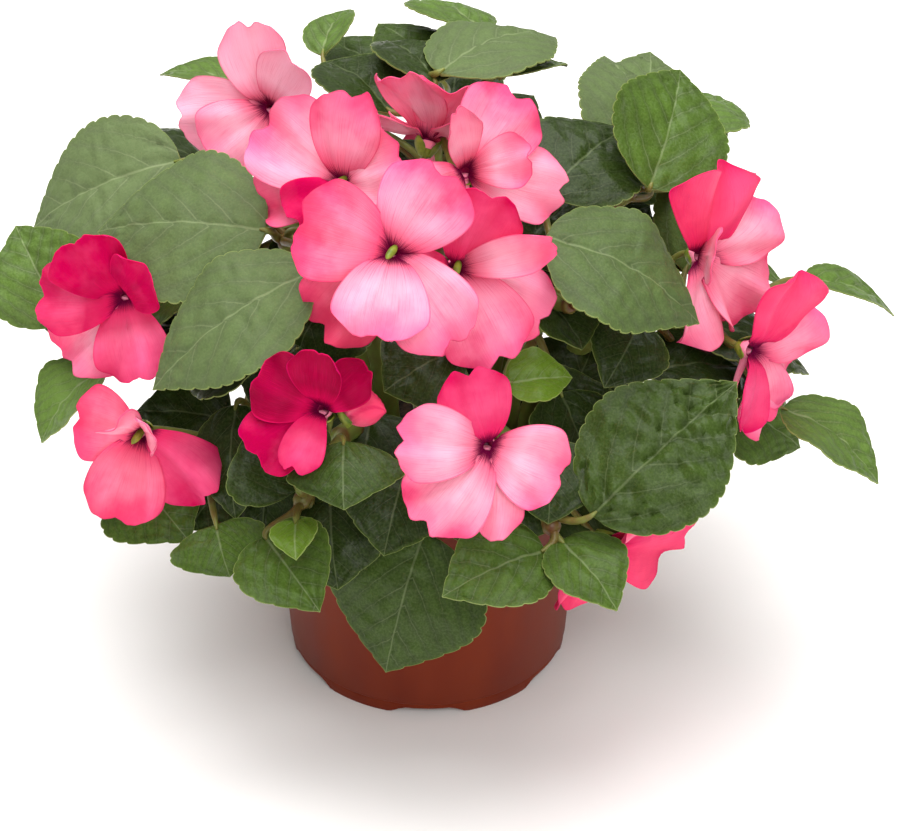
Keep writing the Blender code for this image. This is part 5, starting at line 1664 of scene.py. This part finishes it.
@dataclass
class Shoot:
    """A leafy shoot: its stem, its leaves on their stalks, and its flower stalks."""

    name: str
    leaves: list[Leaf]
    heads: list[Head]
    radius: float = 4.0
    tip_radius: float = 2.4
    joint_swell: float = 0.35
    joint_share: float = 0.03
    steps: int = 48
    sides: int = 12

    def grow_stem(self, shape: Shape) -> None:
        """Add the stem, swollen and redder at each joint.

        Args:
            shape: the shape to add it to.
        """
        x, y, _ = STEMS[self.name][0]
        path = np.vstack(((x, y, HOLE_FLOOR), smooth_path(STEMS[self.name], self.steps)))
        at = np.concatenate(((0.0,), np.linspace(0.0, 1.0, self.steps)))
        radii = np.linspace(self.radius, self.tip_radius, self.steps + 1)
        red = np.full(self.steps + 1, 0.12)
        for leaf in self.leaves:
            near = bump(at - leaf.at, self.joint_share)
            radii = radii + self.joint_swell * near
            red = np.maximum(red, 0.8 * near)
        radii[-1] *= 0.6
        shape.add_stem(path, radii, self.sides, red)

    def build(self, skins: Skins, shift: Points) -> bpy.types.Object:
        """Build the shoot.

        Args:
            skins: the material of each skin.
            shift: where the pot's centre is in the frame, in mm.

        Returns:
            The shoot's object.
        """
        shape = Shape()
        self.grow_stem(shape)
        for leaf in self.leaves:
            Blade(leaf, self.name).grow(shape)
        for head in self.heads:
            head.grow_stalk(shape)
        return shape.piece("leafy_" + self.name, skins, shift)


# The growth that the photograph doesn't show


@dataclass
class BackGrowth:
    """The leaves and blooms out of sight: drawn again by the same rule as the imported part's,
    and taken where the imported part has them."""

    nodes: dict[str, bpy.types.Object]
    shift: Points
    seed: int = 7
    draws: int = 900
    leaf_length: float = 54.0
    match: float = 0.05
    rng: np.random.Generator = field(init=False)
    trees: dict[str, KDTree] = field(default_factory=dict)

    def __post_init__(self) -> None:
        """Start the draws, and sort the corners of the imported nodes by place."""
        self.rng = np.random.default_rng(self.seed)
        for name, packed in self.nodes.items():
            tree = KDTree(len(packed.data.vertices))
            for vert in packed.data.vertices:
                tree.insert(vert.co, vert.index)
            tree.balance()
            self.trees[name] = tree

    def has(self, name: str, points: Points) -> bool:
        """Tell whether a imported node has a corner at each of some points.

        Args:
            name: the node's name.
            points: the points in mm.

        Returns:
            Whether it has.
        """
        tree = self.trees[name]
        return all(tree.find(Vector((point + self.shift) * MM))[2] < self.match * MM for point in points)

    def varied(self, petal: Petal) -> Petal:
        """Draw a petal a little unlike a given one.

        Args:
            petal: the given petal.

        Returns:
            The drawn petal.
        """
        rng = self.rng
        return replace(
            petal,
            angle=petal.angle + rng.uniform(-6, 6),
            length=petal.length * rng.uniform(0.92, 1.06),
            width=petal.width * rng.uniform(0.92, 1.08),
            lift=petal.lift + rng.uniform(-4, 12),
            curl=petal.curl + rng.uniform(-6, 4),
            cup=petal.cup + rng.uniform(-0.2, 0.3),
        )

    def blooms(self) -> list[Bloom]:
        """Draw the blooms at the back.

        Returns:
            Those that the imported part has.
        """
        found = []
        for wish in HIDDEN_BLOOMS:
            petals = tuple(self.varied(petal) for petal in EVEN_PETALS)
            for draw in range(self.draws):
                loose = 0.2 + draw / self.draws
                bearing = wish.bearing + self.rng.uniform(-24, 24) * loose
                reach = wish.reach + self.rng.uniform(-16, 8) * loose
                height = wish.height + self.rng.uniform(-26, 16) * loose
                centre = Place(*(direction(bearing, 0) * reach)[:2], height)
                bloom = Bloom(wish.name, wish.shoot, 0.8, centre, bearing + 90,
                              self.rng.uniform(14, 40), petals)
                if self.has_bloom(bloom):
                    found.append(bloom)
                    break
        return found

    def has_bloom(self, bloom: Bloom) -> bool:
        """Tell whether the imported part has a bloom.

        Args:
            bloom: the bloom.

        Returns:
            Whether its node has a corner at the end of the bloom's foremost petal.
        """
        head = BloomHead(bloom)
        layers = sorted(bloom.petals, key=lambda petal: petal.lift)
        height = (len(layers) - 1) / 2 * PETAL_LAYER
        corner = head.surface(layers[-1], 1.0, 1.0, PETAL_THICKNESS / 2, height, PACKED_OUTLINE)
        return self.has("bloom_" + bloom.name, head.out(corner[None, :]))

    def leaves(self) -> dict[str, list[Leaf]]:
        """Draw the leaves at the back.

        Returns:
            Each shoot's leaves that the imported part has.
        """
        found: dict[str, list[Leaf]] = {shoot: [] for shoot in STEMS}
        for wish in HIDDEN_LEAVES:
            for j in range(wish.count):
                height = (j + 0.5) / wish.count
                turn = (j * 0.618034 + 0.3) % 1.0 * 2 - 1
                bearing = wish.bearing + turn * wish.spread
                for draw in range(self.draws):
                    leaf = self.drawn_leaf(wish.shoot, height, bearing, draw / self.draws)
                    tips = Blade(leaf, wish.shoot).surface(1.0, 0.0, 0.0, BLADE_THICKNESS / 2)
                    if self.has("shoot_" + wish.shoot, tips[None, :]):
                        found[wish.shoot].append(leaf)
                        break
        return found

    def drawn_leaf(self, shoot: str, height: float, bearing: float, loose: float) -> Leaf:
        """Draw a leaf near the wished bearing.

        Args:
            shoot: the shoot that carries it.
            height: how high on the shoot it grows, from 0 to 1.
            bearing: the wished bearing in degrees.
            loose: how far from the wish the draw may go, from 0 to 1.

        Returns:
            The leaf.
        """
        rng = self.rng
        bearing = bearing + rng.uniform(-70, 70) * loose
        rise = -38 + 46 * height + rng.uniform(-8, 8) + rng.uniform(-24, 30) * loose
        stalk = 32 - 14 * height + rng.uniform(-16, 6) * (0.3 + 0.7 * loose)
        length = self.leaf_length * rng.uniform(0.94, 1.04) * (1 - 0.35 * loose)
        at = 0.5 + 0.45 * height
        start, _ = stem_place(shoot, at)
        base = start + direction(bearing, rise + 29) * stalk
        tip = base + direction(bearing, rise) * length
        return Leaf(at, Place(*base), Place(*tip), 0.74 * length, fold=-0.08, wave=0.03, arch=0.12,
                    green=Green.GRASS if loose < 0.3 else Green.DARK)


# Pot and soil


@dataclass(frozen=True)
class Pot:
    """The pot: a tapered wall, a rim band, and a foot ring with notches."""

    sides: int = 192
    height: float = 88.5
    foot_radius: float = 45.0
    foot_inner: float = 42.0
    foot_band_top: float = 4.2
    foot_step: float = 0.6
    floor_top: float = 5.0
    floor_under: float = 3.4
    wall_top: float = 75.0
    wall_top_radius: float = 50.2
    wall_foot_inner: float = 44.0
    wall_top_inner: float = 49.0
    band_step: float = 1.2
    band_radius: float = 52.4
    band_inner: float = 50.9
    rim_radius: float = 53.2
    rim_inner: float = 51.6
    rim_round: float = 0.8
    notches: int = 6
    notch_foot_angle: float = 18.0
    notch_head_angle: float = 9.0
    notch_depth: float = 2.6
    drains: int = 4
    drain_radius: float = 3.5
    drain_circle: float = 27.0
    drain_sides: int = 24
    rim_steps: int = 8
    crease_degrees: float = 32.0

    def profile(self) -> list[tuple[float, float]]:
        """Draw the outline that the pot is turned from.

        Returns:
            Its radii and heights, from the floor's underside over the rim to its top.
        """
        rim = []
        middle = (self.rim_radius + self.rim_inner) / 2
        for k in range(self.rim_steps + 1):
            a = math.pi * k / self.rim_steps
            rim.append((middle + self.rim_round * math.cos(a),
                        self.height - self.rim_round + self.rim_round * math.sin(a)))
        return [
            (0.01, self.floor_under),
            (self.foot_inner - 0.6, self.floor_under),
            (self.foot_inner - 0.15, self.floor_under - 0.4),
            (self.foot_inner, 0.4),
            (self.foot_inner + 0.3, 0.0),
            (self.foot_radius - 0.6, 0.0),
            (self.foot_radius - 0.18, 0.18),
            (self.foot_radius, 0.6),
            (self.foot_radius, self.foot_band_top - 0.1),
            (self.foot_radius + 0.1, self.foot_band_top),
            (self.foot_radius + self.foot_step - 0.1, self.foot_band_top + self.foot_step - 0.1),
            (self.foot_radius + self.foot_step, self.foot_band_top + self.foot_step + 0.1),
            (self.wall_top_radius - 0.05, self.wall_top - 0.6),
            (self.wall_top_radius + 0.2, self.wall_top),
            (self.band_radius - 0.3, self.wall_top + self.band_step - 0.2),
            (self.band_radius, self.wall_top + self.band_step + 0.3),
            *rim,
            (self.band_inner, self.wall_top + 2 * self.band_step),
            (self.wall_top_inner, self.wall_top),
            (self.wall_foot_inner, self.floor_top + 1.0),
            (self.wall_foot_inner - 1.0, self.floor_top),
            (0.01, self.floor_top),
        ]

    def build(self, material: bpy.types.Material, shift: Points) -> bpy.types.Object:
        """Build the pot.

        Args:
            material: its finish.
            shift: where its centre is in the frame, in mm.

        Returns:
            The object.
        """
        points, faces = turned(self.profile(), self.sides)
        pot = self.solid("pot_body", points + shift, faces)
        cutters = []
        for k in range(self.notches):
            cutters.append(self.solid(f"notch_{k}", *self.notch(k * 360 / self.notches - 90, shift)))
        for k in range(self.drains):
            spot = direction(k * 360 / self.drains, 0) * self.drain_circle + shift
            path = np.array((spot, spot + np.array((0, 0, self.floor_top + 1))))
            cutters.append(self.solid(f"drain_{k}", *tube(path, self.drain_radius, self.drain_sides)))
        self.cut(pot, cutters)
        pot.data.materials.append(material)
        pot.data.shade_smooth()
        pot.data.set_sharp_from_angle(angle=math.radians(self.crease_degrees))
        return pot

    @staticmethod
    def solid(name: str, points: Points, faces: Faces) -> bpy.types.Object:
        """Make a closed solid with its normals outward.

        Args:
            name: its name.
            points: its points in mm.
            faces: its faces, by the numbers of its points.

        Returns:
            The object, in the scene.
        """
        shape = bmesh.new()
        verts = [shape.verts.new(point * MM) for point in points]
        for face in faces:
            shape.faces.new([verts[k] for k in face])
        bmesh.ops.recalc_face_normals(shape, faces=shape.faces)
        mesh = bpy.data.meshes.new(name)
        shape.to_mesh(mesh)
        shape.free()
        made = bpy.data.objects.new(name, mesh)
        bpy.context.scene.collection.objects.link(made)
        return made

    def notch(self, turn: float, shift: Points) -> tuple[Points, Faces]:
        """Shape the cutter for one notch in the foot.

        Args:
            turn: the notch's bearing in degrees.
            shift: where the pot's centre is in the frame, in mm.

        Returns:
            The cutter's points and faces.
        """
        steps = 12
        slope = (self.notch_foot_angle - self.notch_head_angle) / self.notch_depth
        outline = [(-self.notch_foot_angle - 3 * slope, -3.0)]
        for k in range(steps + 1):
            share = k / steps * 2 - 1
            rise = self.notch_depth * float(ramp(np.array(1 - abs(share)), 0.0, 0.5))
            outline.append((share * self.notch_foot_angle, rise))
        outline.append((self.notch_foot_angle + 3 * slope, -3.0))
        rings = []
        for radius in (self.foot_inner - 3, self.foot_radius + 3):
            rings.append([direction(turn + angle, 0) * radius + (0, 0, rise) for angle, rise in outline])
        points = np.vstack(rings) + shift
        n = len(outline)
        faces: Faces = [tuple(range(n)), tuple(reversed(range(n, 2 * n)))]
        faces += [(k, k + n, (k + 1) % n + n, (k + 1) % n) for k in range(n)]
        return points, faces

    @staticmethod
    def cut(body: bpy.types.Object, cutters: list[bpy.types.Object]) -> None:
        """Cut solids out of the body, and remove them.

        Args:
            body: what is cut.
            cutters: what is cut out of it.
        """
        group = bpy.data.collections.new("cutters")
        bpy.context.scene.collection.children.link(group)
        for cutter in cutters:
            bpy.context.scene.collection.objects.unlink(cutter)
            group.objects.link(cutter)
        change = body.modifiers.new("cut", "BOOLEAN")
        change.operation = "DIFFERENCE"
        change.operand_type = "COLLECTION"
        change.collection = group
        change.solver = "EXACT"
        graph = bpy.context.evaluated_depsgraph_get()
        mesh = bpy.data.meshes.new_from_object(body.evaluated_get(graph))
        body.modifiers.clear()
        body.data = mesh
        for cutter in cutters:
            bpy.data.objects.remove(cutter)
        bpy.data.collections.remove(group)


@dataclass(frozen=True)
class Soil:
    """The soil's crumbly top and plain sides inside the pot."""

    rings: int = 60
    sides: int = 160
    foot: float = 5.3
    foot_radius: float = 43.4
    shoulder_radius: float = 48.4
    edge: float = 77.0
    crown: float = 79.6
    crumb_waves: int = 24
    crumb_height: float = 0.16
    seed: int = 11

    def build(self, material: bpy.types.Material, shift: Points) -> bpy.types.Object:
        """Build the soil.

        Args:
            material: its finish.
            shift: where its centre is in the frame, in mm.

        Returns:
            The object.
        """
        rng = np.random.default_rng(self.seed)
        turns = np.arange(self.sides) * 2 * math.pi / self.sides
        rows = [np.full(self.sides, radius) for radius in (0.01, self.foot_radius, self.shoulder_radius)]
        heights = [np.full(self.sides, height) for height in (self.foot, self.foot, self.edge - 0.5)]
        waves = self.crumb_waves
        phases = rng.uniform(0, 2 * math.pi, (waves, 3))
        pitches = rng.uniform(0.15, 1.3, (waves, 2)) * rng.choice((-1, 1), (waves, 2))
        for k in range(self.rings + 1):
            share = 1 - k / self.rings
            radius = np.full(self.sides, max(0.01, (self.shoulder_radius - 0.3) * share))
            x, y = radius * np.cos(turns), radius * np.sin(turns)
            crumbs = sum(np.sin(p[0] * x + f[0]) * np.sin(p[1] * y + f[1])
                         for p, f in zip(pitches, phases)) * self.crumb_height
            level = self.edge + (self.crown - self.edge) * (1 - share ** 2)
            rows.append(radius)
            heights.append(level - 0.4 + crumbs * min(1.0, 6 * share) * min(1.0, 12 * (1 - share) + 0.3))
        points = np.vstack([np.stack((r * np.cos(turns), r * np.sin(turns), h), axis=-1)
                            for r, h in zip(rows, heights)])
        soil = Pot.solid("potting_mix_fill", points + shift, ring_faces(len(rows), self.sides))
        soil.data.materials.append(material)
        soil.data.shade_smooth()
        return soil


@dataclass(frozen=True)
class Studio:
    """The white studio: a paper floor, one large soft light overhead and a weak fill."""

    floor_size: float = 8.0
    key_place: tuple[float, float, float] = (-0.08, 0.24, 1.6)
    key_power: float = 45.0
    key_size: float = 1.8
    fill_place: tuple[float, float, float] = (0.3, -1.2, 1.1)
    fill_power: float = 13.0
    fill_size: float = 1.0
    aim: tuple[float, float, float] = (0.0, 0.0, 0.1)
    sky_colour: str = "#FFFDFB"
    sky: float = 0.375

    def build(self, shift: Points) -> None:
        """Make the floor, the lights and the camera.

        Args:
            shift: where the pot's centre is in the frame, in mm.
        """
        scene = bpy.context.scene
        half = self.floor_size / 2
        mesh = bpy.data.meshes.new("floor")
        mesh.from_pydata([(-half, -half, 0), (half, -half, 0), (half, half, 0), (-half, half, 0)], [],
                         [(0, 1, 2, 3)])
        mesh.materials.append(StudioPaper().make())
        floor = bpy.data.objects.new("floor", mesh)
        scene.collection.objects.link(floor)
        self.light("key", self.key_place, self.aim, self.key_power, self.key_size)
        self.light("fill", self.fill_place, self.aim, self.fill_power, self.fill_size)
        world = bpy.data.worlds.new("studio")
        world.use_nodes = True
        background = world.node_tree.nodes["Background"]
        background.inputs["Color"].default_value = linear(self.sky_colour)
        background.inputs["Strength"].default_value = self.sky
        scene.world = world
        scene.view_settings.view_transform = "Standard"
        lens = bpy.data.cameras.new("camera")
        lens.sensor_fit = "HORIZONTAL"
        lens.sensor_width = SENSOR
        lens.lens = VIEW_FOCAL_PIXELS / PHOTO_WIDTH * SENSOR
        camera = bpy.data.objects.new("camera", lens)
        camera.location = (VIEW_AIM - VIEW_INTO * VIEW_DISTANCE + shift) * MM
        camera.rotation_euler = (math.pi / 2 - VIEW_RISE, 0.0, 0.0)
        scene.collection.objects.link(camera)
        scene.camera = camera

    @staticmethod
    def light(name: str, place: tuple, aim: tuple, power: float, size: float) -> None:
        """Add a square soft light.

        Args:
            name: its name.
            place: where it hangs, in metres.
            aim: where it points, in metres.
            power: its power in watts.
            size: its side in metres.
        """
        lamp = bpy.data.lights.new(name, "AREA")
        lamp.energy = power
        lamp.size = size
        made = bpy.data.objects.new(name, lamp)
        made.location = place
        made.rotation_euler = (Vector(place) - Vector(aim)).to_track_quat("Z", "Y").to_euler()
        bpy.context.scene.collection.objects.link(made)


@dataclass
class Plant:
    """The whole potted plant, piece by piece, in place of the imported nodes."""

    nodes: dict[str, bpy.types.Object]
    shift: Points
    skins: Skins = field(default_factory=make_skins)
    magenta_blooms: tuple[str, ...] = ("left", "front_left")
    blooms: list[Bloom] = field(init=False)
    leaves: dict[str, list[Leaf]] = field(init=False)

    def __post_init__(self) -> None:
        """Gather the blooms and leaves, those at the back too."""
        back = BackGrowth(self.nodes, self.shift)
        self.blooms = list(BLOOMS) + back.blooms()
        hidden = back.leaves()
        LOG.info("back growth: %d blooms, %d leaves", len(self.blooms) - len(BLOOMS),
                 sum(len(leaves) for leaves in hidden.values()))
        self.leaves = {shoot: [*LEAVES.get(shoot, ()), *hidden[shoot], *INNER_LEAVES.get(shoot, ())]
                       for shoot in STEMS}

    def place(self, piece: bpy.types.Object, node_name: str, slot: str) -> None:
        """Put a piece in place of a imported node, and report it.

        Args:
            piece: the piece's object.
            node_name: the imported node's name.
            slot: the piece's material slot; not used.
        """
        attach(piece, "root")
        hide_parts(node_name)
        low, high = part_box(node_name)
        corners = np.array([vert.co for vert in piece.data.vertices])
        grown = max(float(np.max(np.array(low) - corners.min(axis=0))),
                    float(np.max(corners.max(axis=0) - np.array(high)))) / MM
        LOG.info("%s: %d faces, at most %.1f mm outside its solid's box", piece.name,
                 len(piece.data.polygons), grown)

    def build(self) -> None:
        """Build every piece."""
        self.place(Pot().build(MouldedPolypropylene().make(), self.shift), "pot", "terracotta_plastic")
        self.place(Soil().build(PottingMix().make(), self.shift), "soil", "potting_soil")
        heads: list[Head] = []
        for seed, bloom in enumerate(self.blooms):
            head = BloomHead(bloom, seed)
            shape = Shape()
            head.grow(shape)
            slot = "magenta_petal" if bloom.name in self.magenta_blooms else "pink_petal"
            self.place(shape.piece("flower_" + bloom.name, self.skins, self.shift),
                       "bloom_" + bloom.name, slot)
            heads.append(head)
        for bud in BUDS:
            head = BudHead(bud)
            shape = Shape()
            head.grow(shape)
            self.place(shape.piece("closed_bud_" + bud.name, self.skins, self.shift), "bud_" + bud.name,
                       "pink_petal")
            heads.append(head)
        for name in STEMS:
            carried = [head for head in heads if head.flower.shoot == name]
            shoot = Shoot(name, self.leaves[name], carried)
            self.place(shoot.build(self.skins, self.shift), "shoot_" + name, "leaf_green")


def main() -> None:
    """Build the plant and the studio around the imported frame."""
    logging.basicConfig(level=logging.INFO, format="%(message)s")
    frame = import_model()
    low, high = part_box("pot")
    middle = (np.array(low) + np.array(high)) / 2
    shift = np.array((middle[0], middle[1], 0.0)) / MM
    Plant(frame["nodes"], shift).build()
    Studio().build(shift)


if __name__ == "__main__":
    main()
